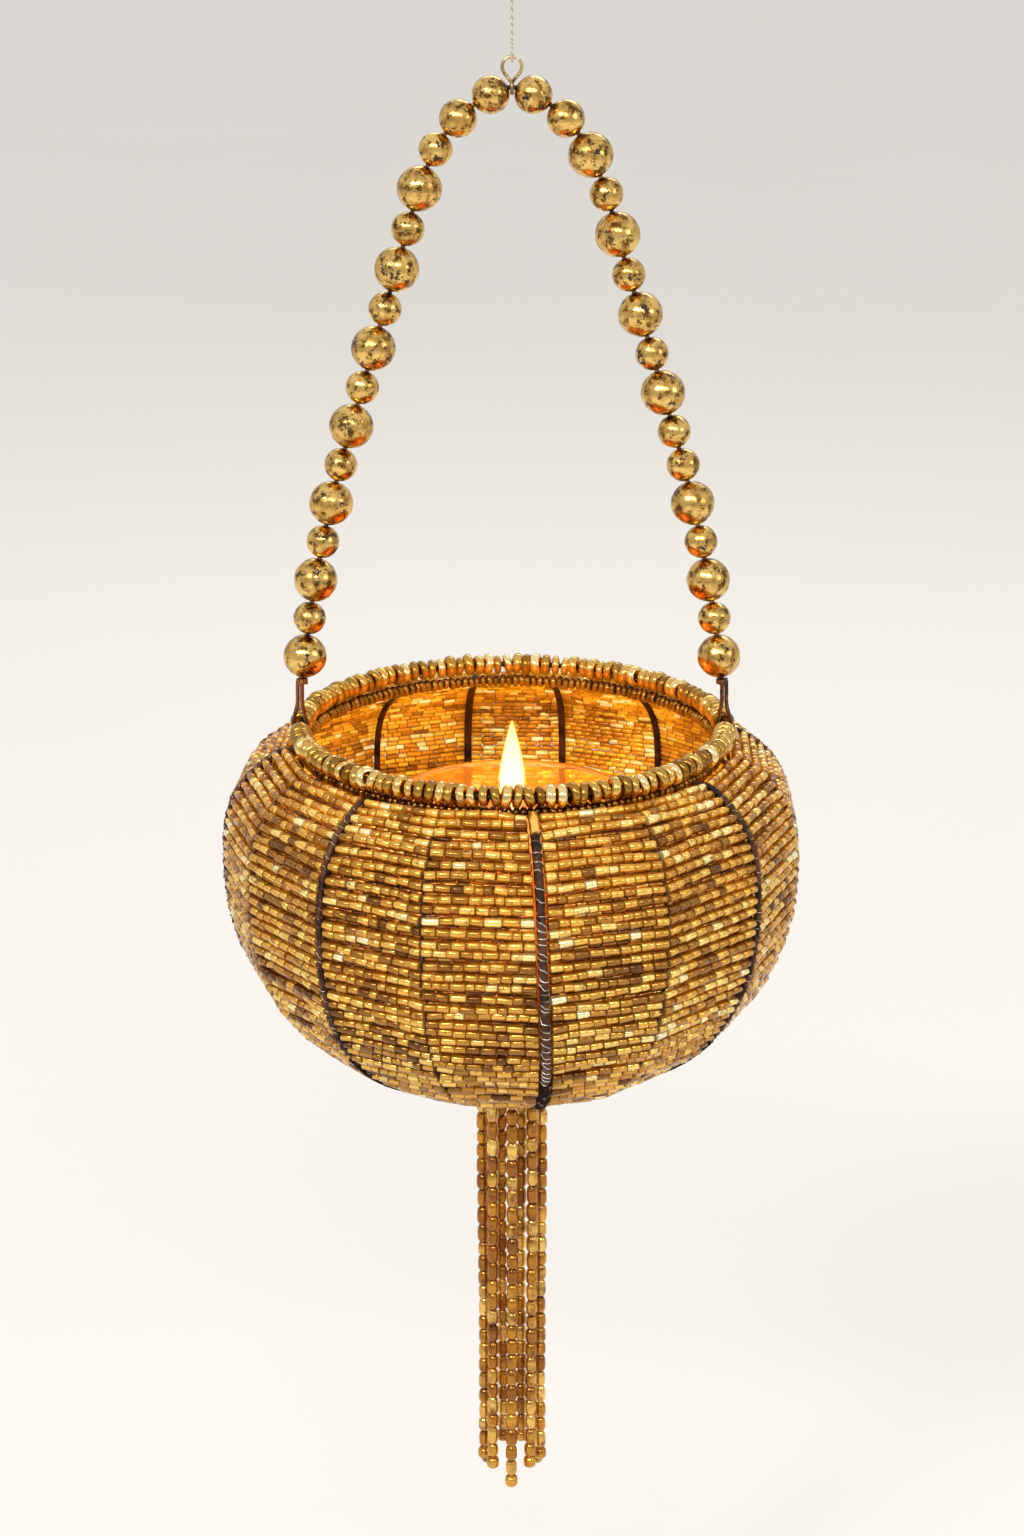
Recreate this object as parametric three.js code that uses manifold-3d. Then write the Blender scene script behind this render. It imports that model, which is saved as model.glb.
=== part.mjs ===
// Hanging beaded tealight holder: a wire-frame bowl walled with rows of glass tube beads, hung by a beaded wire
// handle from a thread, with a candle glass inside and a tassel of bead strands below.
// Millimetres, +Z up. It is modelled round the centre of the rim wire, and the whole hangs from the origin.
import * as THREE from "three";
import { mergeVertices } from "three/addons/utils/BufferGeometryUtils.js";
import Module from "manifold-3d";

const wasm = await Module();
wasm.setup();

// Clearances
const SEAT_GAP = 0.3;
const RUNNING_GAP = 0.35;

// Bowl
const RIM_RADIUS = 46.6;
const BELLY_RADIUS = 64.4;
const BELLY_DEPTH = 29;
const BOWL_DEPTH = 83;
const SHOULDER_FULLNESS = 3;
const BELLY_FULLNESS = 2.2;
const WALL_THICKNESS = 2;
const RIDGE_COUNT = 24;
const RIDGE_GROOVE = 0.8;
const INNER_ROWS = 16;

// Hand-laid ribs: angle from the front, and how far round each leans by the bottom. Every other one lies bare
const RIBS = [
  [5, 9],
  [30.5, 0],
  [55, 0],
  [77.6, 0],
  [100.2, 0],
  [122.9, 0],
  [145.5, 0],
  [168.5, 0],
  [190, 0],
  [212, 0],
  [233.6, 0],
  [255.2, 0],
  [276.8, 0],
  [298.4, 0],
  [321.5, -6],
  [343, 0],
];
const RIB_DIAMETER = 2.2;
const RIB_STEPS = 13;
const TOP_RING_INSET = 1;
const TOP_RING_RADIUS = RIM_RADIUS - TOP_RING_INSET;
const TOP_RING_DIAMETER = 2;
const BASE_RING_RADIUS = 11.5;
const BASE_RING_DIAMETER = 1.8;

// Rim
const RIM_WIRE_DIAMETER = 1.2;
const RIM_SEGMENTS = 36;
const RONDELLE_COUNT = 124;
const RONDELLE_DIAMETER = 5.2;
const RONDELLE_WAIST = 3.8;
const HOOK_BAY = 4.6;
const TIE_DIAMETER = 0.7;
const TIE_OFFSET = 1.65;

// Base plate, and the ring that carries the tassel
const PLATE_RADIUS = 19.5;
const PLATE_THICKNESS = 1.2;
const TASSEL_RING_RADIUS = 6.9;
const TASSEL_RING_DIAMETER = 1.4;
const TASSEL_RING_HEIGHT = -81.5;
const SPOKE_COUNT = 3;

// Tassel strands
const STRAND_BEADS = [26, 25, 25, 26, 25, 25, 26, 25, 25];
const STRAND_SPACING = 360 / STRAND_BEADS.length;
const STRAND_BEAD_LENGTH = 4;
const STRAND_BEAD_DIAMETER = 2.8;
const STRAND_WAIST = 1.5;
const STRAND_THREAD = 0.5;
const STRAND_NECK = 2.4;
const END_BEAD_DIAMETER = 3.1;

// Candle glass and candle
const GLASS_HEIGHT = 57.6;
const GLASS_TOP_RADIUS = 28.5;
const GLASS_BASE_RADIUS = 22;
const GLASS_WALL = 2;
const GLASS_FLOOR = 4;
const WAX_DROP = 7.3;
const WICK_DIAMETER = 1.6;
const WICK_STAND = 6;
const WICK_TAB_RADIUS = 6.5;
const WICK_TAB_THICKNESS = 0.8;

// Handle: half the arch in shares of the rim's radius and of the crown's height, from the rim up
const CROWN_HEIGHT = 137.6;
const ARCH_SHARES = [
  [0.9936, 0.016],
  [0.9785, 0.0872],
  [0.9313, 0.2035],
  [0.824, 0.3757],
  [0.6652, 0.564],
  [0.5064, 0.7406],
  [0.3691, 0.8888],
  [0.2275, 0.9593],
];
const ARCH = ARCH_SHARES.map(([out, up]) => [out * RIM_RADIUS, up * CROWN_HEIGHT]);
const HANDLE_WIRE = 1;
const LINK_WIRE = 0.9;
const LINK_TOP = 10.4;
const COLLAR_RADIUS = 1.35;
const COLLAR_LENGTH = 1.2;
const BEAD_BORE = 2.4;
const BEAD_GAP = 0.3;
const CROWN_BEAD_SPACE = 0.5;
const ARCH_LEFT_BARE = 9.88;
const BEAD_DIAMETERS = { crown: 8, large: 9.6, small: 7.2 };
// From the crown down to the rim
const LEFT_BEADS = ["crown", "crown", ...alternate("small", "large", 14)];
const RIGHT_BEADS = ["crown", "crown", ...alternate("large", "small", 8), ...alternate("small", "large", 6)];

// Eye and thread
const EYE_WIRE = 0.74;
const EYE_RADIUS = 2;
const EYE_HEIGHT = 4.15;
const THREAD_DIAMETER = 0.5;
const THREAD_LOOP_RADIUS = 1.9;
const THREAD_LENGTH = 36;
const KNOT_DIAMETER = 1.6;
const TOP_LOOP_RADIUS = 3.2;

// Materials
function material(color, roughness, metalness, extra = {}) {
  return new THREE.MeshStandardMaterial({ color, roughness, metalness, ...extra });
}
const GOLD_LEAF = material(0xb98a35, 0.3, 0.9);
const RONDELLE_GOLD = material(0xb08436, 0.22, 0.95);
const AMBER_BEADS = material(0xb9812c, 0.25, 0.45);
const DARK_IRON = material(0x2b1a12, 0.55, 0.7);
const COPPER_WIRE = material(0x5a2e1a, 0.4, 0.85);
const PALE_BRASS = material(0xcbb58a, 0.3, 0.9);
const THREAD_PALE = material(0xcdbfa8, 0.8, 0);
const BRASS_PLATE = material(0x8a6a34, 0.4, 0.85);
const AMBER_GLASS = material(0xb8833a, 0.15, 0, { transparent: true, opacity: 0.8 });
const CLEAR_GLASS = material(0xf2e6d2, 0.05, 0, { transparent: true, opacity: 0.35 });
const WAX = material(0xd9692a, 0.5, 0);
const WICK = material(0x2a211a, 0.9, 0);

function alternate(first, second, count) {
  return Array.from({ length: count }, (_, i) => (i % 2 === 0 ? first : second));
}

const root = new THREE.Group();
const hung = new THREE.Group();
root.add(hung);

function add(name, geometry, finish) {
  const mesh = new THREE.Mesh(geometry, finish);
  mesh.name = name;
  hung.add(mesh);
  return mesh;
}

// A closed geometry as a solid, for joins and cuts
function solid(geometry) {
  const bare = geometry.clone();
  bare.deleteAttribute("normal");
  bare.deleteAttribute("uv");
  const merged = mergeVertices(bare, 1e-4);
  return new wasm.Manifold(
    new wasm.Mesh({
      numProp: 3,
      vertProperties: new Float32Array(merged.attributes.position.array),
      triVerts: new Uint32Array(merged.index.array),
    }),
  );
}

function geometryOf(made) {
  const mesh = made.getMesh();
  const geometry = new THREE.BufferGeometry();
  geometry.setAttribute("position", new THREE.BufferAttribute(new Float32Array(mesh.vertProperties), 3));
  geometry.setIndex(new THREE.BufferAttribute(new Uint32Array(mesh.triVerts), 1));
  geometry.computeVertexNormals();
  return geometry;
}

function join(geometries) {
  return geometryOf(geometries.map(solid).reduce((all, one) => all.add(one)));
}

// A closed surface from its points and triangles
function surface(points, faces) {
  const geometry = new THREE.BufferGeometry().setFromPoints(points);
  geometry.setIndex(faces);
  geometry.computeVertexNormals();
  return geometry;
}

// The faces between rings of points that follow each other, each ring with as many points
function bandFaces(ringCount, sides) {
  const faces = [];
  for (let i = 0; i < ringCount - 1; i++) {
    for (let k = 0; k < sides; k++) {
      const a = i * sides + k;
      const b = i * sides + ((k + 1) % sides);
      faces.push(a, b, b + sides);
      faces.push(a, b + sides, a + sides);
    }
  }
  return faces;
}

// A round wire along a curve
function wire(curve, diameter, steps, sides = 6) {
  const section = new THREE.Shape();
  for (let k = 0; k < sides; k++) {
    const turn = (2 * Math.PI * k) / sides;
    const x = (diameter / 2) * Math.cos(turn);
    const y = (diameter / 2) * Math.sin(turn);
    if (k === 0) section.moveTo(x, y);
    else section.lineTo(x, y);
  }
  section.closePath();
  return new THREE.ExtrudeGeometry(section, { extrudePath: curve, steps, bevelEnabled: false });
}

// A level ring of round wire
function levelRing(radius, diameter, height, segments, sides = 6) {
  const ring = new THREE.TorusGeometry(radius, diameter / 2, sides, segments);
  ring.translate(0, 0, height);
  return ring;
}

// A turned shape about the upright axis, its profile in distance from the axis and height
function lathe(profile, segments) {
  const points = profile.map(([r, z]) => new THREE.Vector2(r, z));
  return new THREE.LatheGeometry(points, segments).rotateX(Math.PI / 2);
}

// A point by its angle from the front, distance from the axis and height
function around(degrees, radius, height) {
  const turn = THREE.MathUtils.degToRad(degrees);
  return new THREE.Vector3(radius * Math.sin(turn), -radius * Math.cos(turn), height);
}

// The outside of the bead rows seen in section: a full shoulder above the belly and a rounder bottom below
class BowlProfile extends THREE.Curve {
  constructor() {
    super();
    this.arcLengthDivisions = 2000;
    const rise = (1 - (RIM_RADIUS / BELLY_RADIUS) ** SHOULDER_FULLNESS) ** (1 / SHOULDER_FULLNESS);
    this.shoulderHeight = (BELLY_DEPTH - 1) / rise;
    this.start = Math.asin(rise ** (SHOULDER_FULLNESS / 2));
  }
  getPoint(t, target = new THREE.Vector2()) {
    const turn = this.start - t * (this.start + Math.PI / 2);
    const above = turn > 0;
    const power = 2 / (above ? SHOULDER_FULLNESS : BELLY_FULLNESS);
    const height = above ? this.shoulderHeight : BOWL_DEPTH - BELLY_DEPTH;
    const r = BELLY_RADIUS * Math.abs(Math.cos(turn)) ** power;
    const z = -BELLY_DEPTH + Math.sign(turn) * height * Math.abs(Math.sin(turn)) ** power;
    return target.set(r, z);
  }
}
const bowlProfile = new BowlProfile();

// A point that lies a given depth inside the outer profile, at a share of its length
function profileAt(share, depth) {
  const point = bowlProfile.getPointAt(share);
  const tangent = bowlProfile.getTangentAt(share);
  return new THREE.Vector2(point.x + tangent.y * depth, point.y - tangent.x * depth);
}

// The share of the profile's length at which a test on the point first holds
function shareWhere(test) {
  const step = 0.0005;
  let share = 0;
  while (share < 1 && !test(bowlProfile.getPointAt(share))) share += step;
  return share;
}

// The angle of a rib at a share of the profile's length
function ribAngle(index, share) {
  const [angle, lean] = RIBS[index % RIBS.length];
  return angle + lean * share ** 2;
}

// The wall starts clear of the rim's rondelles and ends short of the base ring
const RIM_CLEARANCE = RONDELLE_DIAMETER / 2 + 2 * SEAT_GAP + RIDGE_GROOVE;
const WALL_START = shareWhere((p) => Math.hypot(p.x - RIM_RADIUS, p.y) > RIM_CLEARANCE);
const WALL_END = shareWhere((p) => p.y < -BELLY_DEPTH && p.x < BASE_RING_RADIUS + BASE_RING_DIAMETER);
const WALL_SPAN = WALL_END - WALL_START;

// Bare ribs stand level with the beads, and covered ribs lie just inside them
const BARE_RIB_DEPTH = RIB_DIAMETER / 2 - 0.2;
const COVERED_RIB_DEPTH = WALL_THICKNESS + SEAT_GAP + RIB_DIAMETER / 2 + 0.15;
const BARE_RIB_START = WALL_START + 0.03;
const BASE_RING_HEIGHT = profileAt(WALL_END, COVERED_RIB_DEPTH).y;
const TOP_RING_DROP = RONDELLE_DIAMETER / 2 + SEAT_GAP + TOP_RING_DIAMETER / 2;
const TOP_RING_HEIGHT = -Math.sqrt(TOP_RING_DROP ** 2 - TOP_RING_INSET ** 2);

// The section of a wall panel, as shares and depths: a ridge for every two rows of beads outside, smooth inside
function panelSection() {
  const outline = [];
  const pitch = WALL_SPAN / RIDGE_COUNT;
  for (let ridge = 0; ridge < RIDGE_COUNT; ridge++) {
    const share = WALL_START + ridge * pitch;
    outline.push([share, RIDGE_GROOVE]);
    outline.push([share + pitch / 2, 0]);
  }
  outline.push([WALL_END, RIDGE_GROOVE]);
  for (let i = INNER_ROWS; i >= 0; i--) {
    outline.push([WALL_START + (WALL_SPAN * i) / INNER_ROWS, WALL_THICKNESS]);
  }
  return outline;
}

// A point of a panel on a rib, set back towards the next rib where the rib is bare
function panelPoint([share, depth], rib, next, setBack) {
  const point = profileAt(share, depth);
  const corner = around(ribAngle(rib, share), point.x, point.y);
  const towards = around(ribAngle(next, share), point.x, point.y);
  return corner.add(towards.sub(corner).setLength(setBack));
}

// A wall panel runs in flat chords from one bare rib over a covered rib to the next bare one
function wallPanel(from) {
  const over = from + 1;
  const to = from + 2;
  const setBack = RIB_DIAMETER / 2 + RUNNING_GAP;
  const outline = panelSection();
  const points = [
    ...outline.map((p) => panelPoint(p, from, over, setBack)),
    ...outline.map((p) => panelPoint(p, over, to, 0)),
    ...outline.map((p) => panelPoint(p, to, over, setBack)),
  ];
  const faces = bandFaces(3, outline.length);
  const end = 2 * outline.length;
  const flat = outline.map(([share, depth]) => profileAt(share, depth));
  for (const [a, b, c] of THREE.ShapeUtils.triangulateShape(flat, [])) {
    faces.push(a, b, c);
    faces.push(end + a, end + c, end + b);
  }
  return surface(points, faces);
}

function addPanels() {
  for (let i = 0; i < RIBS.length; i += 2) {
    add("bead_panel_" + (i / 2 + 1), wallPanel(i), AMBER_BEADS);
  }
}

// A rib: from the top ring down between or inside the beads and in to the base ring
function ribCurve(rib, depth, first) {
  const points = [around(ribAngle(rib, 0), TOP_RING_RADIUS, TOP_RING_HEIGHT)];
  const span = WALL_END - 0.01 - first;
  const count = 9;
  for (let i = 0; i < count; i++) {
    const share = first + (span * i) / (count - 1);
    const p = profileAt(share, depth);
    points.push(around(ribAngle(rib, share), p.x, p.y));
  }
  points.push(around(ribAngle(rib, 1), BASE_RING_RADIUS, BASE_RING_HEIGHT));
  return new THREE.CatmullRomCurve3(points, false, "centripetal");
}

// A short tie holds the rim wire on the top ring, beside the link in each bay
function rimTie(side) {
  const angle = side * (90 + THREE.MathUtils.radToDeg(TIE_OFFSET / RIM_RADIUS));
  const head = around(angle, RIM_RADIUS, 0);
  const foot = around(angle, TOP_RING_RADIUS, TOP_RING_HEIGHT);
  return wire(new THREE.LineCurve3(foot, head), TIE_DIAMETER, 1);
}

// Rim wire on its ties, top ring, ribs and base ring, and the tassel ring on its spokes
function wireFrame() {
  const pieces = [
    levelRing(RIM_RADIUS, RIM_WIRE_DIAMETER, 0, RIM_SEGMENTS, 5),
    rimTie(-1),
    rimTie(1),
    levelRing(TOP_RING_RADIUS, TOP_RING_DIAMETER, TOP_RING_HEIGHT, 28, 5),
    levelRing(BASE_RING_RADIUS, BASE_RING_DIAMETER, BASE_RING_HEIGHT, 21, 5),
    levelRing(TASSEL_RING_RADIUS, TASSEL_RING_DIAMETER, TASSEL_RING_HEIGHT, 18, 5),
  ];
  for (let i = 0; i < RIBS.length; i++) {
    const bare = ribCurve(i, BARE_RIB_DEPTH, BARE_RIB_START);
    const covered = ribCurve(i, COVERED_RIB_DEPTH, WALL_START);
    pieces.push(wire(i % 2 === 0 ? bare : covered, RIB_DIAMETER, RIB_STEPS, 4));
  }
  for (let i = 0; i < SPOKE_COUNT; i++) {
    const angle = STRAND_SPACING / 2 + (360 * i) / SPOKE_COUNT;
    const inner = around(angle, TASSEL_RING_RADIUS, TASSEL_RING_HEIGHT);
    const outer = around(angle, BASE_RING_RADIUS, BASE_RING_HEIGHT);
    pieces.push(wire(new THREE.LineCurve3(inner, outer), TASSEL_RING_DIAMETER - 0.2, 1));
  }
  return join(pieces);
}

// The section of the rim's rondelles at an angle round the rim
function rimSection(angle, reach) {
  const sides = 4;
  const ring = [];
  for (let k = 0; k < sides; k++) {
    const turn = (-2 * Math.PI * k) / sides;
    ring.push(around(angle, RIM_RADIUS + reach * Math.cos(turn), reach * Math.sin(turn)));
  }
  return ring;
}

// Half the rim's rondelles, strung side by side on the rim wire between the two places where the handle hooks on
function rimBeads(start) {
  const bay = THREE.MathUtils.radToDeg(HOOK_BAY / 2 / RIM_RADIUS);
  const span = 180 - 2 * bay;
  const points = [];
  const stations = RONDELLE_COUNT + 1;
  for (let i = 0; i < stations; i++) {
    const reach = (i % 2 === 0 ? RONDELLE_WAIST : RONDELLE_DIAMETER) / 2;
    points.push(...rimSection(start + bay + (span * i) / RONDELLE_COUNT, reach));
  }
  const sides = points.length / stations;
  const faces = bandFaces(stations, sides);
  const end = points.length - sides;
  for (let k = 1; k < sides - 1; k++) {
    faces.push(0, k + 1, k);
    faces.push(end, end + k, end + k + 1);
  }
  const bore = levelRing(RIM_RADIUS, RIM_WIRE_DIAMETER + 2 * SEAT_GAP, 0, RIM_SEGMENTS, 5);
  return geometryOf(solid(surface(points, faces)).subtract(solid(bore)));
}

// The base plate lies on the covered ribs, and the glass stands on it
const PLATE_UNDERSIDE = plateSeat();
const PLATE_TOP = PLATE_UNDERSIDE + PLATE_THICKNESS;

function plateSeat() {
  const share = shareWhere((p) => p.y < -BELLY_DEPTH && p.x < PLATE_RADIUS);
  return profileAt(share, COVERED_RIB_DEPTH + RIB_DIAMETER / 2).y + SEAT_GAP;
}

function basePlate() {
  const bevel = 0.4;
  const profile = [
    [0, PLATE_UNDERSIDE],
    [PLATE_RADIUS - bevel, PLATE_UNDERSIDE],
    [PLATE_RADIUS, PLATE_UNDERSIDE + bevel],
    [PLATE_RADIUS, PLATE_TOP],
    [0, PLATE_TOP],
  ];
  return lathe(profile, 28);
}

// One strand: a thread loop round the tassel ring, oval beads below it, and a round bead at the end
function tasselStrand(beads) {
  const loopRadius = TASSEL_RING_DIAMETER / 2 + SEAT_GAP + STRAND_THREAD / 2;
  const loop = new THREE.TorusGeometry(loopRadius, STRAND_THREAD / 2, 3, 8);
  loop.rotateX(Math.PI / 2);
  const top = -loopRadius - STRAND_NECK;
  const profile = [
    [0, -loopRadius],
    [STRAND_THREAD / 2, -loopRadius],
    [STRAND_THREAD / 2, top],
    [STRAND_WAIST / 2, top],
  ];
  for (let i = 0; i < beads - 1; i++) {
    const z = top - i * STRAND_BEAD_LENGTH;
    profile.push([STRAND_BEAD_DIAMETER / 2, z - STRAND_BEAD_LENGTH / 2]);
    profile.push([STRAND_WAIST / 2, z - STRAND_BEAD_LENGTH]);
  }
  const end = top - (beads - 1) * STRAND_BEAD_LENGTH;
  profile.push([END_BEAD_DIAMETER / 2, end - END_BEAD_DIAMETER / 2]);
  profile.push([0, end - END_BEAD_DIAMETER]);
  return join([loop, lathe(profile.reverse(), 4)]);
}

function addStrands() {
  STRAND_BEADS.forEach((beads, i) => {
    const angle = STRAND_SPACING * i;
    const strand = add("tassel_strand_" + (i + 1), tasselStrand(beads), AMBER_GLASS);
    strand.position.copy(around(angle, TASSEL_RING_RADIUS, TASSEL_RING_HEIGHT));
    strand.rotation.z = THREE.MathUtils.degToRad(angle - 90);
  });
}

// The candle glass, tapered, with a thick floor
const GLASS_BASE_HEIGHT = PLATE_TOP + SEAT_GAP;
const GLASS_RIM_HEIGHT = GLASS_BASE_HEIGHT + GLASS_HEIGHT;
const GLASS_FLOOR_HEIGHT = GLASS_BASE_HEIGHT + GLASS_FLOOR;
const WAX_TOP = GLASS_RIM_HEIGHT - WAX_DROP;
const TAB_BOTTOM = GLASS_FLOOR_HEIGHT + SEAT_GAP;
const TAB_TOP = TAB_BOTTOM + WICK_TAB_THICKNESS;

function glassInside(height) {
  const share = (height - GLASS_BASE_HEIGHT) / GLASS_HEIGHT;
  return GLASS_BASE_RADIUS + (GLASS_TOP_RADIUS - GLASS_BASE_RADIUS) * share - GLASS_WALL;
}

function votiveGlass() {
  const bevel = 0.7;
  const profile = [
    [0, GLASS_BASE_HEIGHT],
    [GLASS_BASE_RADIUS - bevel, GLASS_BASE_HEIGHT],
    [GLASS_BASE_RADIUS, GLASS_BASE_HEIGHT + bevel],
    [GLASS_TOP_RADIUS, GLASS_RIM_HEIGHT - bevel],
    [GLASS_TOP_RADIUS - GLASS_WALL / 2, GLASS_RIM_HEIGHT],
    [GLASS_TOP_RADIUS - GLASS_WALL, GLASS_RIM_HEIGHT - bevel],
    [glassInside(GLASS_FLOOR_HEIGHT + bevel), GLASS_FLOOR_HEIGHT + bevel],
    [glassInside(GLASS_FLOOR_HEIGHT) - bevel, GLASS_FLOOR_HEIGHT],
    [0, GLASS_FLOOR_HEIGHT],
  ];
  return lathe(profile, 24);
}

// Wax poured round the wick and over the wick's tab
function candleWax() {
  const bevel = 1;
  const hole = WICK_DIAMETER / 2 + SEAT_GAP;
  const recess = WICK_TAB_RADIUS + SEAT_GAP;
  const profile = [
    [hole, TAB_TOP + SEAT_GAP],
    [recess, TAB_TOP + SEAT_GAP],
    [recess, TAB_BOTTOM],
    [glassInside(TAB_BOTTOM) - SEAT_GAP - bevel, TAB_BOTTOM],
    [glassInside(TAB_BOTTOM + bevel) - SEAT_GAP, TAB_BOTTOM + bevel],
    [glassInside(WAX_TOP) - SEAT_GAP, WAX_TOP],
    [hole, WAX_TOP],
    [hole, TAB_TOP + SEAT_GAP],
  ];
  return lathe(profile, 24);
}

// The wick leans a little at its burnt tip and is clenched into its tab
function candleWick() {
  const lean = 0.8;
  const path = new THREE.CatmullRomCurve3([
    new THREE.Vector3(0, 0, TAB_BOTTOM + WICK_TAB_THICKNESS / 2),
    new THREE.Vector3(0, 0, WAX_TOP),
    new THREE.Vector3(lean / 4, 0, WAX_TOP + WICK_STAND / 2),
    new THREE.Vector3(lean, 0, WAX_TOP + WICK_STAND),
  ]);
  const tab = [
    [0, TAB_BOTTOM],
    [WICK_TAB_RADIUS, TAB_BOTTOM],
    [WICK_TAB_RADIUS, TAB_TOP],
    [0, TAB_TOP],
  ];
  return join([wire(path, WICK_DIAMETER, 8), lathe(tab, 16)]);
}

// The arch, from its left foot over the crown to its right foot
function archCurve() {
  const left = ARCH.map(([x, z]) => new THREE.Vector3(-x, 0, z));
  const right = ARCH.map(([x, z]) => new THREE.Vector3(x, 0, z)).reverse();
  const crown = new THREE.Vector3(0, 0, CROWN_HEIGHT);
  const curve = new THREE.CatmullRomCurve3([...left, crown, ...right], false, "centripetal");
  curve.arcLengthDivisions = 1000;
  return curve;
}
const arch = archCurve();
const ARCH_LENGTH = arch.getLength();

// The stretch of a curve between two shares of its length
class Stretch extends THREE.Curve {
  constructor(whole, from, to) {
    super();
    this.whole = whole;
    this.from = from;
    this.to = to;
  }
  getPoint(t, target = new THREE.Vector3()) {
    return this.whole.getPointAt(this.from + (this.to - this.from) * t, target);
  }
}

// A long narrow link bent from the end of the handle wire, round the rim wire and back up
function linkCurve(side) {
  const eye = RIM_WIRE_DIAMETER / 2 + RUNNING_GAP + LINK_WIRE / 2;
  const slant = eye * Math.SQRT1_2;
  const narrow = 0.75;
  const at = (x, z) => new THREE.Vector3(side * (RIM_RADIUS + x), 0, z);
  return new THREE.CatmullRomCurve3(
    [
      at(-narrow, LINK_TOP),
      at(-narrow, LINK_TOP - 1),
      at(-eye, eye * 2),
      at(-eye, 0),
      at(-slant, -slant),
      at(0, -eye),
      at(slant, -slant),
      at(eye, 0),
      at(eye, eye * 2),
      at(narrow / 2, LINK_TOP - 1),
      at(narrow / 4, LINK_TOP),
    ],
    false,
    "centripetal",
  );
}

function linkCollar(side) {
  const collar = new THREE.CylinderGeometry(COLLAR_RADIUS, COLLAR_RADIUS, COLLAR_LENGTH, 8);
  collar.rotateX(Math.PI / 2);
  collar.translate(side * (RIM_RADIUS - 0.7), 0, LINK_TOP);
  return collar;
}

// The handle wire runs through all the beads, and at each end a collar holds a link
function handleWire() {
  const share = (LINK_TOP - ARCH[0][1]) / ARCH_LENGTH;
  return join([
    wire(new Stretch(arch, share, 1 - share), HANDLE_WIRE, 48, 5),
    wire(linkCurve(-1), LINK_WIRE, 20, 5),
    wire(linkCurve(1), LINK_WIRE, 20, 5),
    linkCollar(-1),
    linkCollar(1),
  ]);
}

// A round bead bored through along its own axis
function bead(diameter) {
  const radius = diameter / 2;
  const bore = BEAD_BORE / 2;
  const first = Math.asin(bore / radius);
  const rows = 4;
  const profile = [];
  for (let i = 0; i <= rows; i++) {
    const turn = first + ((Math.PI - 2 * first) * i) / rows;
    profile.push([radius * Math.sin(turn), -radius * Math.cos(turn)]);
  }
  profile.push(profile[0]);
  return lathe(profile, 8);
}

// The beads fill each half of the arch but for its bare foot and half the room that the eye takes at the crown
const BEAD_RUN = LEFT_BEADS.reduce((length, kind) => length + BEAD_DIAMETERS[kind] + BEAD_GAP, -BEAD_GAP);
const BEAD_FIT = (ARCH_LENGTH / 2 - ARCH_LEFT_BARE) / BEAD_RUN;

function fitted(kind) {
  return BEAD_DIAMETERS[kind] * BEAD_FIT;
}

// How far along the arch the first bead lies from the crown, where the eye hooks on between the two sides
function crownBeadOffset() {
  const step = 0.01;
  const clear = fitted("crown") / 2 + CROWN_BEAD_SPACE;
  let along = clear;
  while (arch.getPointAt(0.5 + along / ARCH_LENGTH).x < clear) along += step;
  return along;
}

// One side's beads, strung touching from the crown down
function addHandleBeads(side, label, kinds) {
  let along = 0;
  kinds.forEach((kind, i) => {
    const diameter = fitted(kind);
    along += i === 0 ? crownBeadOffset() : (fitted(kinds[i - 1]) + diameter) / 2 + BEAD_GAP;
    const share = 0.5 + (side * along) / ARCH_LENGTH;
    const reach = diameter / 2 / ARCH_LENGTH;
    const low = arch.getPointAt(share - reach);
    const high = arch.getPointAt(share + reach);
    const one = add("handle_bead_" + label + "_" + (i + 1), bead(diameter), GOLD_LEAF);
    one.position.copy(low).add(high).multiplyScalar(0.5).add(arch.getPointAt(share)).multiplyScalar(0.5);
    one.quaternion.setFromUnitVectors(new THREE.Vector3(0, 0, 1), high.sub(low).normalize());
  });
}

// The eye: one wire bent under the handle wire and round into a teardrop, its ends almost meeting
const EYE_CENTRE = CROWN_HEIGHT + EYE_HEIGHT;

function hangingEye() {
  const hook = HANDLE_WIRE / 2 + RUNNING_GAP + EYE_WIRE / 2;
  const slant = hook * Math.SQRT1_2;
  const onCircle = (degrees) => {
    const turn = THREE.MathUtils.degToRad(degrees);
    return new THREE.Vector3(EYE_RADIUS * Math.sin(turn), 0, EYE_CENTRE + EYE_RADIUS * Math.cos(turn));
  };
  const at = (x, y, z) => new THREE.Vector3(x, y, CROWN_HEIGHT + z);
  const path = [
    ...[28, 0, -30, -60, -90, -122].map(onCircle),
    at(-0.62, -0.3, 1.75),
    at(-0.1, -0.9, 0.9),
    at(0, -hook, 0),
    at(0, -slant, -slant),
    at(0, 0, -hook),
    at(0, slant, -slant),
    at(0, hook, 0),
    at(0.1, 0.9, 0.9),
    at(0.62, 0.3, 1.75),
    ...[122, 90, 64, 46].map(onCircle),
  ];
  return wire(new THREE.CatmullRomCurve3(path, false, "centripetal"), EYE_WIRE, 34);
}

// The thread: its small lower loop through the eye, and the straight run up to the knot
const THREAD_PIVOT = EYE_CENTRE + EYE_RADIUS - EYE_WIRE / 2 - SEAT_GAP - THREAD_DIAMETER / 2;
const LOOP_CENTRE = THREAD_PIVOT + THREAD_LOOP_RADIUS;
const KNOT_HEIGHT = THREAD_PIVOT + THREAD_LENGTH;

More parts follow.
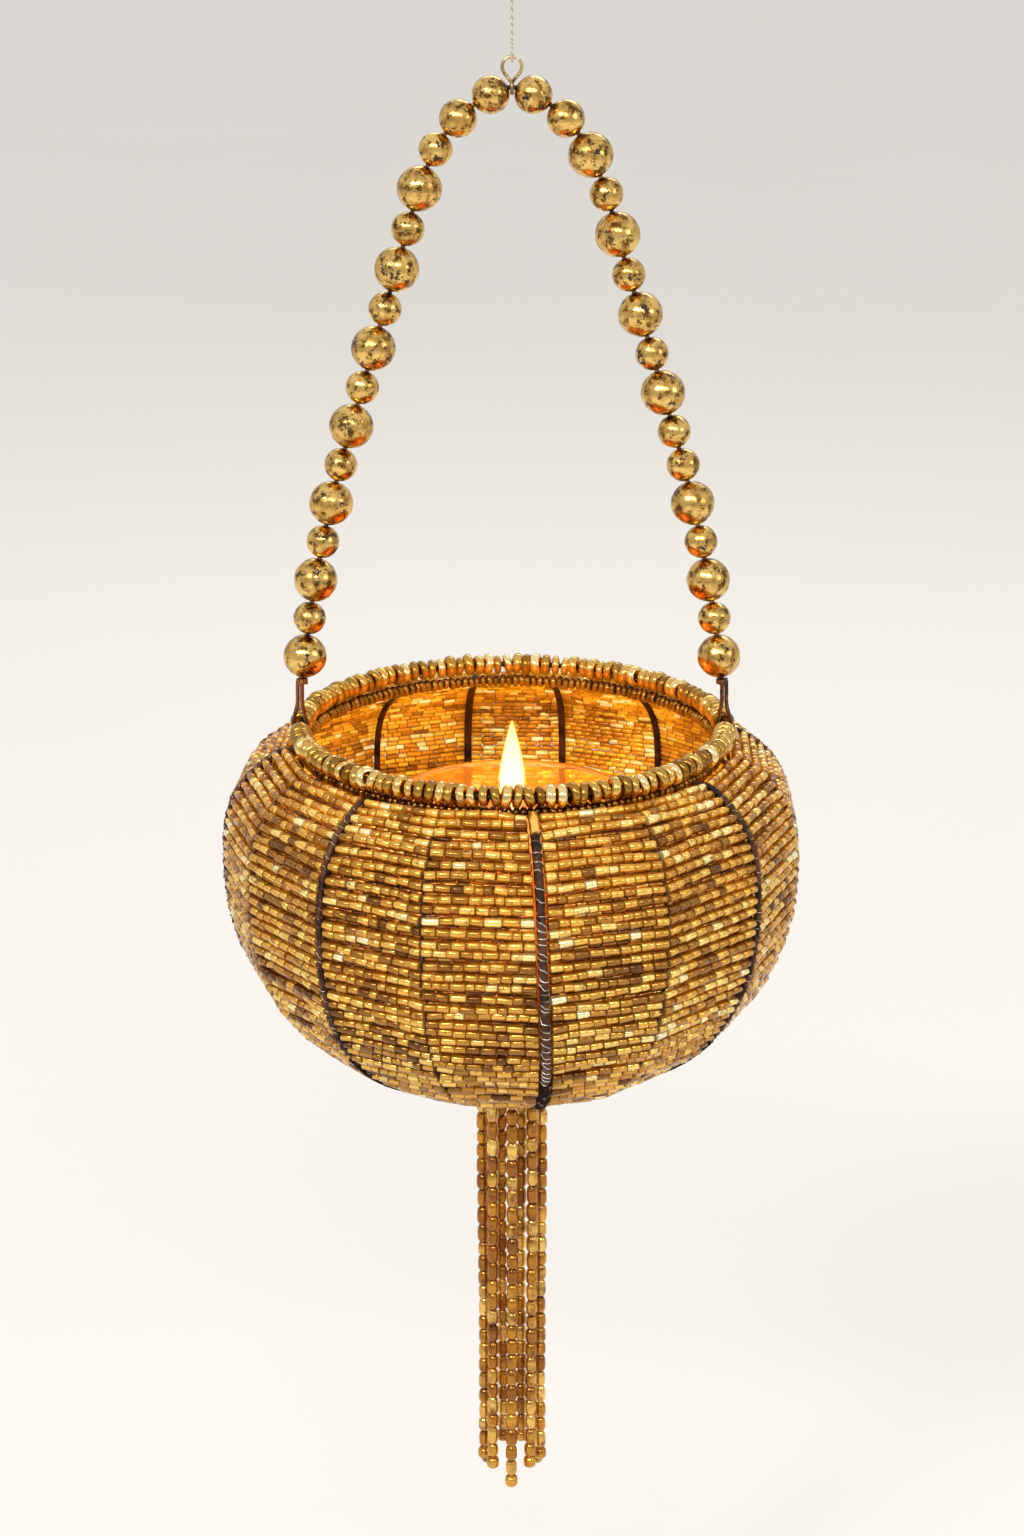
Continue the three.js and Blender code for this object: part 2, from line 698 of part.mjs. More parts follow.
function hangingThread() {
  const loop = new THREE.TorusGeometry(THREAD_LOOP_RADIUS, THREAD_DIAMETER / 2, 8, 16);
  loop.rotateY(Math.PI / 2);
  loop.translate(0, 0, LOOP_CENTRE);
  const foot = new THREE.Vector3(0, 0, LOOP_CENTRE + THREAD_LOOP_RADIUS);
  const head = new THREE.Vector3(0, 0, KNOT_HEIGHT - KNOT_DIAMETER / 2 - SEAT_GAP);
  return join([loop, wire(new THREE.LineCurve3(foot, head), THREAD_DIAMETER, 4, 8)]);
}

// The thread's upper loop and its knot, which hang on whatever holds the piece up
const TOP_LOOP_CENTRE = KNOT_HEIGHT + KNOT_DIAMETER / 2 + TOP_LOOP_RADIUS;
const HANG_HEIGHT = TOP_LOOP_CENTRE + TOP_LOOP_RADIUS - THREAD_DIAMETER / 2;

function threadLoop() {
  const loop = new THREE.TorusGeometry(TOP_LOOP_RADIUS, THREAD_DIAMETER / 2, 8, 18);
  loop.rotateX(Math.PI / 2);
  loop.translate(0, 0, TOP_LOOP_CENTRE);
  const knot = new THREE.SphereGeometry(KNOT_DIAMETER / 2, 8, 6);
  knot.rotateX(Math.PI / 2);
  knot.translate(0, 0, KNOT_HEIGHT);
  return join([loop, knot]);
}

// Assembly
add("thread_loop", threadLoop(), THREAD_PALE);
add("hanging_thread", hangingThread(), THREAD_PALE);
add("hanging_eye", hangingEye(), PALE_BRASS);
add("handle_wire", handleWire(), COPPER_WIRE);
addHandleBeads(-1, "left", LEFT_BEADS);
addHandleBeads(1, "right", RIGHT_BEADS);
add("wire_frame", wireFrame(), DARK_IRON);
add("rim_beads_front", rimBeads(-90), RONDELLE_GOLD);
add("rim_beads_back", rimBeads(90), RONDELLE_GOLD);
addPanels();
add("base_plate", basePlate(), BRASS_PLATE);
add("votive_glass", votiveGlass(), CLEAR_GLASS);
add("candle_wax", candleWax(), WAX);
add("candle_wick", candleWick(), WICK);
addStrands();

// The inside of the upper loop's top is where the piece hangs, at the origin
hung.position.z = -HANG_HEIGHT;

export default root;
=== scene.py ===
# %% [markdown]
# # Hanging beaded tealight holder
# A wire bowl walled with rows of glass tube beads hangs from a thread by an arch of gold leaf beads. A candle glass
# stands in it and a tassel hangs below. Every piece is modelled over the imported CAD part, in its own frame, so
# nothing has to be fitted afterwards.

# %% Load the CAD frame
import random
from math import asin, cos, degrees, hypot, pi, radians, sin, sqrt, tau

import bpy
import numpy as np
from mathutils import Matrix, Vector


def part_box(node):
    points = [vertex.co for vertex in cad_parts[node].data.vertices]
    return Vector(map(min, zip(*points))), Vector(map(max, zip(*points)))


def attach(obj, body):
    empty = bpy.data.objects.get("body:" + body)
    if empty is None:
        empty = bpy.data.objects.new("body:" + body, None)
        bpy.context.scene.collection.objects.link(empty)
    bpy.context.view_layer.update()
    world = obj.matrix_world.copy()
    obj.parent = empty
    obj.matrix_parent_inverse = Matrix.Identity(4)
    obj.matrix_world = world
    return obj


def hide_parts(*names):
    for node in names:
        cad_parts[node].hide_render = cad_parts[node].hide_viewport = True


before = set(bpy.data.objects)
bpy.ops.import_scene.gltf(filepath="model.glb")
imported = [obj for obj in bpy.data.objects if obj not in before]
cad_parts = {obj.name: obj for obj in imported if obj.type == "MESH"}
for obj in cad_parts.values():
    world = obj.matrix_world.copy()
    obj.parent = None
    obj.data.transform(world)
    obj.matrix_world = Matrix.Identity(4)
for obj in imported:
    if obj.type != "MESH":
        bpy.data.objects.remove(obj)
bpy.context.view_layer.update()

random.seed(14)
MM = 0.001
RIM_PLANE = -185.78
scene = bpy.context.scene

# %% [markdown]
# ## Measures
# The wall of the bowl is one curve turned about the upright axis: a full shoulder above the belly and a rounder
# bottom below it. The same curve carries the bead rows, the ribs and their binding wire, so it is worked out once,
# in millimetres from the centre of the rim, and measured along its length.

# %% The bowl's outline
RIM_RADIUS = 46.6
BELLY_RADIUS = 64.4
BELLY_DEPTH = 29
BOWL_DEPTH = 83
SHOULDER_POWER = 3
BOTTOM_POWER = 2.2
RIM_CLEARANCE = 3.7
ROW_END_RADIUS = 13.3
rise = (1 - (RIM_RADIUS / BELLY_RADIUS) ** SHOULDER_POWER) ** (1 / SHOULDER_POWER)
first_turn = asin(rise ** (SHOULDER_POWER / 2))
turns = np.linspace(first_turn, -pi / 2, 4001)
powers = 2 / np.where(turns > 0, SHOULDER_POWER, BOTTOM_POWER)
heights = np.where(turns > 0, (BELLY_DEPTH - 1) / rise, BOWL_DEPTH - BELLY_DEPTH)
outline_r = BELLY_RADIUS * np.abs(np.cos(turns)) ** powers
outline_z = -BELLY_DEPTH + np.sign(turns) * heights * np.abs(np.sin(turns)) ** powers
outline_length = np.concatenate([[0], np.cumsum(np.hypot(np.diff(outline_r), np.diff(outline_z)))])
clear_of_rim = np.hypot(outline_r - RIM_RADIUS, outline_z) > RIM_CLEARANCE
WALL_START = outline_length[np.argmax(clear_of_rim)]
past_rows = (outline_z < -BELLY_DEPTH) & (outline_r < ROW_END_RADIUS)
WALL_END = outline_length[np.argmax(past_rows)]
print(f"wall from {WALL_START:.1f} to {WALL_END:.1f} mm along the outline")


# %% Points on the wall
def outline_at(length, depth=0.0):
    """Distance from the axis and height, a given depth inside the outline."""
    near_by = (length - 0.2, length, length + 0.2)
    (r0, r, r1), (z0, z, z1) = (np.interp(near_by, outline_length, run) for run in (outline_r, outline_z))
    along = Vector((r1 - r0, z1 - z0)).normalized()
    return r + along.y * depth, z - along.x * depth


def row_frame(x, y, z):
    """A point in metres in the part's frame, from millimetres about the centre of the rim."""
    return Vector((x, y, z + RIM_PLANE)) * MM


def around(angle, radius, height):
    turn = radians(angle)
    return row_frame(radius * sin(turn), -radius * cos(turn), height)


# The ribs were laid by hand: each has its own angle, and how far round it leans by the bottom
RIBS = [(5, 9), (30.5, 0), (55, 0), (77.6, 0), (100.2, 0), (122.9, 0), (145.5, 0), (168.5, 0),
        (190, 0), (212, 0), (233.6, 0), (255.2, 0), (276.8, 0), (298.4, 0), (321.5, -6), (343, 0)]


def rib_angle(rib, length):
    """The angle of a rib at a length along the outline."""
    angle, lean = RIBS[rib % len(RIBS)]
    return angle + lean * (length / outline_length[-1]) ** 2


print("front of the belly:", tuple(round(c, 4) for c in around(0, BELLY_RADIUS, -BELLY_DEPTH)))

# %% [markdown]
# ## Camera
# The photograph looks about 19 degrees down at the holder from a little over half a metre away, with a long lens.
# The camera comes first, so that every piece can be judged in its view.

# %% Camera
CAMERA_DISTANCE = 0.6175
CAMERA_HEIGHT = 0.01722
CAMERA_PITCH = 19.01
SENSOR_WIDTH = 36
LENS = 69.3
camera_data = bpy.data.cameras.new("camera")
camera_data.sensor_width = SENSOR_WIDTH
camera_data.lens = LENS
camera = bpy.data.objects.new("camera", camera_data)
camera.location = (0, -CAMERA_DISTANCE, CAMERA_HEIGHT)
camera.rotation_euler = (radians(90 - CAMERA_PITCH), 0, 0)
scene.collection.objects.link(camera)
scene.camera = camera
print("camera at", tuple(camera.location))


# %% [markdown]
# ## Tools for modelling
# Wires are curves with a round section, turned into meshes. Beads are modelled once and set down many times: each
# copy gets its own place, turn and length, and a tone, which its material reads to make no two beads alike.

# %% Small helpers
def mode(name):
    bpy.ops.object.mode_set(mode=name)


def deselect():
    if bpy.context.object and bpy.context.object.mode != "OBJECT":
        mode("OBJECT")
    bpy.ops.object.select_all(action="DESELECT")


def only(piece):
    deselect()
    piece.select_set(True)
    bpy.context.view_layer.objects.active = piece


def shown(name, data):
    piece = bpy.data.objects.new(name, data)
    scene.collection.objects.link(piece)
    return piece


def named(name):
    """Names the piece made last."""
    piece = bpy.context.object
    piece.name = name
    return piece


def settle(piece, angle):
    """Puts the piece's place into its mesh and smooths it, up to an angle."""
    only(piece)
    bpy.ops.object.transform_apply(location=True, rotation=True, scale=True)
    bpy.ops.object.shade_smooth_by_angle(angle=radians(angle))
    return piece


def dress(piece, body, material, slot, *nodes):
    piece.data.materials.clear()
    piece.data.materials.append(material)
    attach(piece, body)
    if nodes:
        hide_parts(*nodes)


def wire(name, points, diameter, smooth=True, fine=3):
    """A round wire through points, as a mesh."""
    curve = bpy.data.curves.new(name, "CURVE")
    curve.dimensions = "3D"
    curve.bevel_depth = diameter * MM / 2
    curve.bevel_resolution = fine
    curve.resolution_u = 6
    curve.use_fill_caps = True
    spline = curve.splines.new("BEZIER" if smooth else "POLY")
    knots = spline.bezier_points if smooth else spline.points
    knots.add(len(points) - 1)
    for knot, point in zip(knots, points):
        if smooth:
            knot.co = point
            knot.handle_left_type = knot.handle_right_type = "AUTO"
        else:
            knot.co = (*point, 1)
    only(shown(name, curve))
    bpy.ops.object.convert(target="MESH")
    piece = bpy.context.object
    bpy.ops.object.shade_smooth()
    return piece


def above(base, *profile):
    """A profile whose heights are given from a base."""
    return [(r, base + z) for r, z in profile]


def turned(name, profile, steps=96):
    """A closed shape turned about the upright axis, from distances and heights in millimetres."""
    mesh = bpy.data.meshes.new(name)
    edges = [(i, i + 1) for i in range(len(profile) - 1)]
    mesh.from_pydata([row_frame(r, 0, z) for r, z in profile], edges, [])
    piece = shown(name, mesh)
    only(piece)
    mode("EDIT")
    bpy.ops.mesh.select_all(action="SELECT")
    bpy.ops.mesh.spin(steps=steps, angle=2 * pi, center=(0, 0, 0), axis=(0, 0, 1))
    bpy.ops.mesh.select_all(action="SELECT")
    bpy.ops.mesh.remove_doubles(threshold=1e-6)
    bpy.ops.mesh.normals_make_consistent(inside=False)
    mode("OBJECT")
    return settle(piece, 35)


def torus(name, radius, diameter, height=-RIM_PLANE, steps=(96, 10), turn=(0, 0, 0), flat=1.0):
    """A ring of round section; without a height it lies at the origin, as a pattern."""
    deselect()
    bpy.ops.mesh.primitive_torus_add(
        major_radius=radius * MM, minor_radius=diameter * MM / 2, major_segments=steps[0], minor_segments=steps[1],
        rotation=turn, location=row_frame(0, 0, height))
    piece = named(name)
    piece.scale.z = flat
    return settle(piece, 60)


def joined(name, pieces):
    only(pieces[0])
    for piece in pieces:
        piece.select_set(True)
    bpy.ops.object.join()
    return named(name)


print("helpers ready")


# %% Setting beads down
def read(items, label, width=1, kind=float):
    values = np.empty(len(items) * width, kind)
    items.foreach_get(label, values)
    return values


def strew(name, pattern, places, tones, angle=40):
    """One mesh of copies of a pattern bead, each with its own place, turn and tone."""
    mesh = pattern.data
    count = len(places)
    points = read(mesh.vertices, "co", 3).reshape(-1, 3)
    corners = read(mesh.loops, "vertex_index", kind=int)
    starts = read(mesh.polygons, "loop_start", kind=int)
    matrices = np.array([list(map(list, m)) for m in places])
    placed = np.einsum("kij,nj->kni", matrices, np.c_[points, np.ones(len(points))])[:, :, :3]
    made = bpy.data.meshes.new(name)
    made.vertices.add(count * len(points))
    made.vertices.foreach_set("co", placed.reshape(-1))
    made.loops.add(count * len(corners))
    shift = np.arange(count)[:, None]
    made.loops.foreach_set("vertex_index", (corners[None] + shift * len(points)).reshape(-1))
    made.polygons.add(count * len(starts))
    made.polygons.foreach_set("loop_start", (starts[None] + shift * len(corners)).reshape(-1))
    made.update(calc_edges=True)
    # under runs from 0 on the top of each copy to 1 on its underside; the tube glass darkens by it as painted shade
    across, along = points[:, 1], np.abs(points[:, 2])
    shares = {"tone": np.repeat(np.array(tones, float), len(points)),
              "end": np.tile((along > along.max() * 0.99).astype(float), count),
              "under": np.tile(0.5 - across / np.abs(across).max() / 2, count)}
    for label, values in shares.items():
        made.attributes.new(label, "FLOAT", "POINT").data.foreach_set("value", values)
    piece = shown(name, made)
    only(piece)
    bpy.ops.object.shade_smooth_by_angle(angle=radians(angle))
    return piece


def set_down(centre, direction, stretch, girth, roll=0.0, tilt=0.0):
    """The place of a bead whose bore follows a direction."""
    turn = Vector(direction).normalized().to_track_quat("Z", "Y").to_matrix().to_4x4()
    lean = Matrix.Rotation(tilt, 4, "X") @ Matrix.Rotation(roll, 4, "Z")
    return Matrix.Translation(centre) @ turn @ lean @ Matrix.Diagonal((girth, girth, stretch, 1))


def drop(pattern):
    bpy.data.objects.remove(pattern)


print("bead tools ready")


# %% [markdown]
# ## Effects shared by the materials
# Old metal and glass are never one colour. Three node groups give the materials what they share: a mottle of worn
# and dark places, the tone, ends and painted underside shade of each bead, and the glow that the candle throws on
# what faces it.

# %% Node helpers
def feed(source, target):
    """Links a socket or types a value into another."""
    if isinstance(source, bpy.types.NodeSocket):
        target.id_data.links.new(source, target)
    else:
        target.default_value = source


def shader_node(tree, kind, inputs=None, **settings):
    made = tree.nodes.new("ShaderNode" + kind)
    for key, value in settings.items():
        setattr(made, key, value)
    for key, value in (inputs or {}).items():
        feed(value, made.inputs[key])
    return made


def own_place(tree):
    return shader_node(tree, "TexCoord").outputs["Object"]


def ramp(tree, factor, *stops):
    made = shader_node(tree, "ValToRGB", {"Fac": factor})
    bar = made.color_ramp.elements
    while len(bar) < len(stops):
        bar.new(0.5)
    for stop, (position, colour) in zip(bar, stops):
        stop.position = position
        stop.color = (*colour, 1)
    return made.outputs["Color"]


def blend(tree, factor, first, second):
    """The second colour over the first, as far as the factor says."""
    colours = [c if isinstance(c, bpy.types.NodeSocket) else (*c, 1) for c in (first, second)]
    return shader_node(tree, "Mix", {0: factor, 6: colours[0], 7: colours[1]}, data_type="RGBA").outputs[2]


def span(tree, value, to_low, to_high, low=0.0, high=1.0):
    return shader_node(tree, "MapRange", {0: value, 1: low, 2: high, 3: to_low, 4: to_high}).outputs[0]


def calculated(tree, operation, first, second):
    return shader_node(tree, "Math", {0: first, 1: second}, operation=operation).outputs[0]


def vector_step(tree, operation, output, *vectors):
    return shader_node(tree, "VectorMath", dict(enumerate(vectors)), operation=operation).outputs[output]


def new_group(name, inputs, outputs):
    tree = bpy.data.node_groups.new(name, "ShaderNodeTree")
    for label, value in inputs.items():
        tree.interface.new_socket(label, in_out="INPUT", socket_type="NodeSocketFloat").default_value = value
    for label in outputs:
        tree.interface.new_socket(label, in_out="OUTPUT", socket_type="NodeSocketFloat")
    return tree, tree.nodes.new("NodeGroupInput").outputs, tree.nodes.new("NodeGroupOutput").inputs


# %% Mottle
settings = {"Scale": 600.0, "Broad": 180.0, "From": 0.5, "To": 0.6}
mottle, given, put_out = new_group("mottle", settings, ["Mask", "Height"])
place = own_place(mottle)
fine_noise = {"Vector": place, "Scale": given["Scale"], "Detail": 5.0, "Roughness": 0.65}
coarse = shader_node(mottle, "TexNoise", fine_noise).outputs["Fac"]
broad = shader_node(mottle, "TexNoise", {"Vector": place, "Scale": given["Broad"], "Detail": 1.0}).outputs["Fac"]
halved = calculated(mottle, "MULTIPLY", calculated(mottle, "ADD", coarse, broad), 0.5)
feed(span(mottle, halved, 0.0, 1.0, given["From"], given["To"]), put_out["Mask"])
feed(coarse, put_out["Height"])
print("mottle group:", len(mottle.nodes), "nodes")

# %% Bead tone
# Under runs from the top to the underside of each bead; the tube glass uses it for painted shade
bead_tone, _, put_out = new_group("bead_tone", {}, ["Tone", "End", "Under"])
for label in ("tone", "end", "under"):
    feed(shader_node(bead_tone, "Attribute", attribute_name=label).outputs["Fac"], put_out[label.title()])
print("bead tone group:", len(bead_tone.nodes), "nodes")

# %% Candle glow
FLAME_MIDDLE = row_frame(0, 0, -16)
tree, given, put_out = new_group("candle_glow", {"Reach": 0.08, "Through": 0.1}, ["Glow"])
place = own_place(tree)
away = vector_step(tree, "DISTANCE", "Value", place, FLAME_MIDDLE)
near = span(tree, away, 1.0, 0.0, 0.02, given["Reach"])
patchy = shader_node(tree, "TexNoise", {"Vector": place, "Scale": 60.0, "Detail": 2.0}).outputs["Fac"]
toward = vector_step(tree, "SUBTRACT", "Vector", FLAME_MIDDLE, place)
toward = vector_step(tree, "NORMALIZE", "Vector", toward)
normal = shader_node(tree, "NewGeometry").outputs["Normal"]
facing = span(tree, vector_step(tree, "DOT_PRODUCT", "Value", toward, normal), given["Through"], 1.0)
uneven = calculated(tree, "MULTIPLY", near, patchy)
feed(calculated(tree, "MULTIPLY", uneven, facing), put_out["Glow"])
candle_glow = tree
print("candle glow group:", len(tree.nodes), "nodes")


# %% [markdown]
# ## Finishes
# Each material starts from a Principled shader. What stays the same all over is typed on its sockets, and what
# varies comes from the groups. The leaf is worn through in dark flecks, the tube beads run from brown to pale gold
# and carry painted shade underneath, and roughness and bump follow the same masks.

# %% Starting a material
def new_material(name, **constants):
    material = bpy.data.materials.new(name)
    material.use_nodes = True
    shader = material.node_tree.nodes["Principled BSDF"]
    for label, value in constants.items():
        shader.inputs[label.replace("_", " ")].default_value = value
    return material, material.node_tree, shader.inputs


def group_in(tree, group, **values):
    return shader_node(tree, "Group", values, node_tree=group).outputs


def bumped(tree, inputs, height, distance):
    feed(shader_node(tree, "Bump", {"Height": height, "Distance": distance}).outputs[0], inputs["Normal"])


def vary(tree, inputs, factor, **ends):
    """Runs each socket from one value or colour to another, as far as the factor says."""
    for label, (low, high) in ends.items():
        between = span if isinstance(high, float) else blend
        feed(between(tree, factor, low, high), inputs[label.replace("_", " ")])


def candle_lit(tree, inputs, colour, reach, through):
    """Lets a surface glow in a colour where the candle is near."""
    near = group_in(tree, candle_glow, Reach=reach, Through=through)["Glow"]
    vary(tree, inputs, near, Emission_Color=((0, 0, 0), colour))


# %% Worn metal
def worn_metal(name, bright, dark, size, start, stop, rough, metal=(1.0, 0.6), **constants):
    """Bright metal with dark worn places, rougher and less metallic where it is worn."""
    material, tree, inputs = new_material(name, **constants)
    worn = group_in(tree, mottle, Scale=size, From=start, To=stop)
    vary(tree, inputs, worn["Mask"], Base_Color=(bright, dark), Roughness=rough, Metallic=metal)
    bumped(tree, inputs, worn["Height"], 0.00004)
    return material


dark_iron = worn_metal("dark_iron", (0.07, 0.04, 0.028), (0.02, 0.012, 0.01), 800, 0.42, 0.58, (0.35, 0.6), (0.7, 0.3))
dark_rib = worn_metal("dark_rib", (0.10, 0.038, 0.016), (0.016, 0.007, 0.004), 500, 0.44, 0.6, (0.4, 0.6), (0.0, 0.0),
                      Specular_IOR_Level=0.2)
close_wrap = worn_metal("close_wrap", (0.020, 0.010, 0.006), (0.62, 0.54, 0.42), 1500, 0.57, 0.61, (0.6, 0.25),
                        (0.0, 1.0), Specular_IOR_Level=0.05)
silver_wire = worn_metal("silver_wire", (0.82, 0.76, 0.68), (0.14, 0.10, 0.08), 700, 0.48, 0.6, (0.22, 0.45))
dull_wire = worn_metal("dull_wire", (0.50, 0.38, 0.26), (0.02, 0.012, 0.008), 900, 0.47, 0.53, (0.25, 0.6), (1.0, 0.0))
copper_wire = worn_metal("copper_wire", (0.26, 0.11, 0.045), (0.05, 0.022, 0.012), 1200, 0.44, 0.58, (0.22, 0.5))
pale_brass = worn_metal("pale_brass", (0.68, 0.50, 0.25), (0.28, 0.17, 0.07), 1500, 0.46, 0.6, (0.15, 0.35))
brass_plate = worn_metal("brass_plate", (0.60, 0.42, 0.17), (0.36, 0.23, 0.09), 600, 0.42, 0.64, (0.28, 0.45))
tin = worn_metal("tin", (0.6, 0.6, 0.58), (0.3, 0.28, 0.26), 500, 0.5, 0.62, (0.3, 0.5))
charred = worn_metal("charred_wick", (0.03, 0.022, 0.018), (0.16, 0.10, 0.06), 1800, 0.5, 0.62, (0.85, 0.95),
                     (0.0, 0.0))
print("worn metals made")

# %% Gold leaf
gold_leaf, tree, inputs = new_material("gold_leaf")
cloud = group_in(tree, mottle, Scale=900.0, Broad=300.0, From=0.42, To=0.62)
flecks = group_in(tree, mottle, Scale=2800.0, Broad=600.0, From=0.53, To=0.57)
patches = group_in(tree, mottle, Scale=1500.0, Broad=350.0, From=0.585, To=0.605)
leaf = blend(tree, cloud["Mask"], (0.84, 0.55, 0.17), (0.46, 0.25, 0.06))
leaf = blend(tree, flecks["Mask"], leaf, (0.13, 0.06, 0.014))
vary(tree, inputs, patches["Mask"], Base_Color=(leaf, (0.035, 0.018, 0.009)), Metallic=(1.0, 0.3))
vary(tree, inputs, cloud["Mask"], Roughness=(0.12, 0.26))
bumped(tree, inputs, cloud["Height"], 0.00006)
print("gold leaf made")

# %% Rondelle gold
rondelle_gold, tree, inputs = new_material("rondelle_gold", Emission_Strength=1.0)
tone = group_in(tree, bead_tone)["Tone"]
worn = group_in(tree, mottle, Scale=1400.0, From=0.6, To=0.7)
shades = ramp(tree, tone, (0.0, (0.07, 0.03, 0.008)), (0.2, (0.26, 0.12, 0.02)), (0.5, (0.52, 0.29, 0.055)),
              (0.8, (0.78, 0.50, 0.14)), (1.0, (0.98, 0.78, 0.38)))
vary(tree, inputs, worn["Mask"], Base_Color=(shades, (0.16, 0.08, 0.03)), Metallic=(1.0, 0.7))
vary(tree, inputs, tone, Roughness=(0.26, 0.12))
candle_lit(tree, inputs, (1.0, 0.30, 0.01), 0.072, 0.0)
bumped(tree, inputs, worn["Height"], 0.000015)


# %% Gold-lined glass tube beads
def lined_glass(name, stops, lit_stops, glow, reach, through, metal):
    """A gold lining under a clear coat, dark at the cut ends, darker underneath as painted shade, and lit through by
    the candle.
    """
    material, tree, inputs = new_material(name, Coat_Roughness=0.06, Emission_Strength=glow)
    bead = group_in(tree, bead_tone)
    worn = group_in(tree, mottle, Scale=1600.0, Broad=500.0, From=0.56, To=0.68)
    shades = ramp(tree, bead["Tone"], *stops)
    streaked = blend(tree, worn["Mask"], shades, stops[0][1])
    # Painted shade: the lower half of each bead darkens towards the darkest tone
    shaded = blend(tree, span(tree, bead["Under"], 0.0, 0.85, 0.5), streaked, stops[0][1])
    feed(blend(tree, span(tree, bead["End"], 0.0, 0.85), shaded, (0.05, 0.02, 0.006)), inputs["Base Color"])
    vary(tree, inputs, bead["Tone"], Roughness=(0.26, 0.12))
    vary(tree, inputs, bead["End"], Metallic=(metal, 0.1), Coat_Weight=(0.4, 0.1))
    candle_lit(tree, inputs, ramp(tree, bead["Tone"], *lit_stops), reach, through)
    bumped(tree, inputs, worn["Height"], 0.00002)
    return material


OUTER_TONES = [(0.0, (0.12, 0.042, 0.004)), (0.3, (0.46, 0.22, 0.028)), (0.62, (0.80, 0.45, 0.08)),
               (0.86, (1.0, 0.70, 0.2)), (1.0, (1.0, 0.88, 0.52))]
# The inner layer's tones are darker than the outer ones: painted shade on the rows behind
SHADED_INNER_TONES = [(0.0, (0.08, 0.02, 0.002)), (0.4, (0.34, 0.11, 0.008)), (0.75, (0.68, 0.28, 0.02)),
               (1.0, (1.0, 0.66, 0.2))]
LIT_TONES = [(0.0, (0.26, 0.06, 0.0)), (0.45, (0.85, 0.25, 0.005)), (0.75, (1.0, 0.46, 0.02)), (1.0, (1.0, 0.85, 0.35))]
outer_beads = lined_glass("outer_beads", OUTER_TONES, LIT_TONES, 1.2, 0.085, 0.7, 0.95)
inner_beads = lined_glass("inner_beads", SHADED_INNER_TONES, LIT_TONES, 3.4, 0.1, 0.0, 0.6)
print("tube bead glass made")

# %% Amber glass, clear glass
amber_glass, tree, inputs = new_material("amber_glass", Transmission_Weight=0.8, IOR=1.5, Coat_Weight=0.15,
                                         Coat_Roughness=0.04, Emission_Strength=0.04)
bead = group_in(tree, bead_tone)
worn = group_in(tree, mottle, Scale=700.0, From=0.45, To=0.62)
shades = ramp(tree, bead["Tone"], (0.0, (0.42, 0.14, 0.004)), (0.5, (0.70, 0.32, 0.02)), (1.0, (1.0, 0.68, 0.18)))
vary(tree, inputs, worn["Mask"], Base_Color=(shades, (0.26, 0.075, 0.004)), Roughness=(0.05, 0.14))
vary(tree, inputs, bead["Tone"], Metallic=(0.6, 0.75))
# Painted light: the amber glass glows faintly in the colour of its own tones
feed(shades, inputs["Emission Color"])
bumped(tree, inputs, worn["Height"], 0.00005)

clear_glass, tree, inputs = new_material("clear_glass", Transmission_Weight=1.0, IOR=1.5, Emission_Strength=1.1)
worn = group_in(tree, mottle, Scale=120.0, From=0.5, To=0.7)
vary(tree, inputs, worn["Mask"], Base_Color=((1.0, 0.95, 0.86), (0.98, 0.88, 0.72)), Roughness=(0.03, 0.12))
candle_lit(tree, inputs, (1.0, 0.24, 0.01), 0.045, 0.3)
bumped(tree, inputs, worn["Height"], 0.00006)
print("glass made")

# %% Wax, wick and thread
wax, tree, inputs = new_material("wax", Emission_Strength=1.0)
worn = group_in(tree, mottle, Scale=160.0, From=0.44, To=0.62)
vary(tree, inputs, worn["Mask"], Base_Color=((0.78, 0.22, 0.04), (0.60, 0.13, 0.02)), Roughness=(0.28, 0.5))
near = group_in(tree, candle_glow, Reach=0.05, Through=0.5)["Glow"]
lit = ramp(tree, near, (0.0, (0.0, 0.0, 0.0)), (0.25, (0.75, 0.08, 0.0)), (0.6, (1.0, 0.28, 0.02)))
feed(lit, inputs["Emission Color"])
bumped(tree, inputs, worn["Height"], 0.0003)


# The plies run between a darker groove colour and a paler crest colour; the darker grooves are painted shade between
# the plies
def twisted_thread(name, shaded_groove, crest):
    material, tree, inputs = new_material(name, Roughness=0.75)
    waves = {"Vector": own_place(tree), "Scale": 420.0, "Distortion": 2.0, "Detail": 2.0}
    plies = shader_node(tree, "TexWave", waves, bands_direction="DIAGONAL").outputs["Fac"]
    vary(tree, inputs, plies, Base_Color=(shaded_groove, crest))
    bumped(tree, inputs, plies, 0.00008)
    return material


pale_thread = twisted_thread("pale_thread", (0.36, 0.29, 0.22), (0.66, 0.58, 0.47))
amber_thread = twisted_thread("amber_thread", (0.10, 0.04, 0.01), (0.30, 0.14, 0.04))
print("wax, wick and thread made")


# %% Flame
def flame_glow(name, stops, strength, alpha):
    material, tree, inputs = new_material(name, Emission_Strength=strength, Roughness=0.6)
    height = shader_node(tree, "SeparateXYZ", {"Vector": own_place(tree)}).outputs["Z"]
    share = span(tree, height, 0.0, 1.0, row_frame(0, 0, -22).z, row_frame(0, 0, 1.8).z)
    colours = ramp(tree, share, *stops)
    feed(colours, inputs["Emission Color"])
    feed(colours, inputs["Base Color"])
    feed(ramp(tree, share, *((at, (value,) * 3) for at, value in alpha)), inputs["Alpha"])
    return material


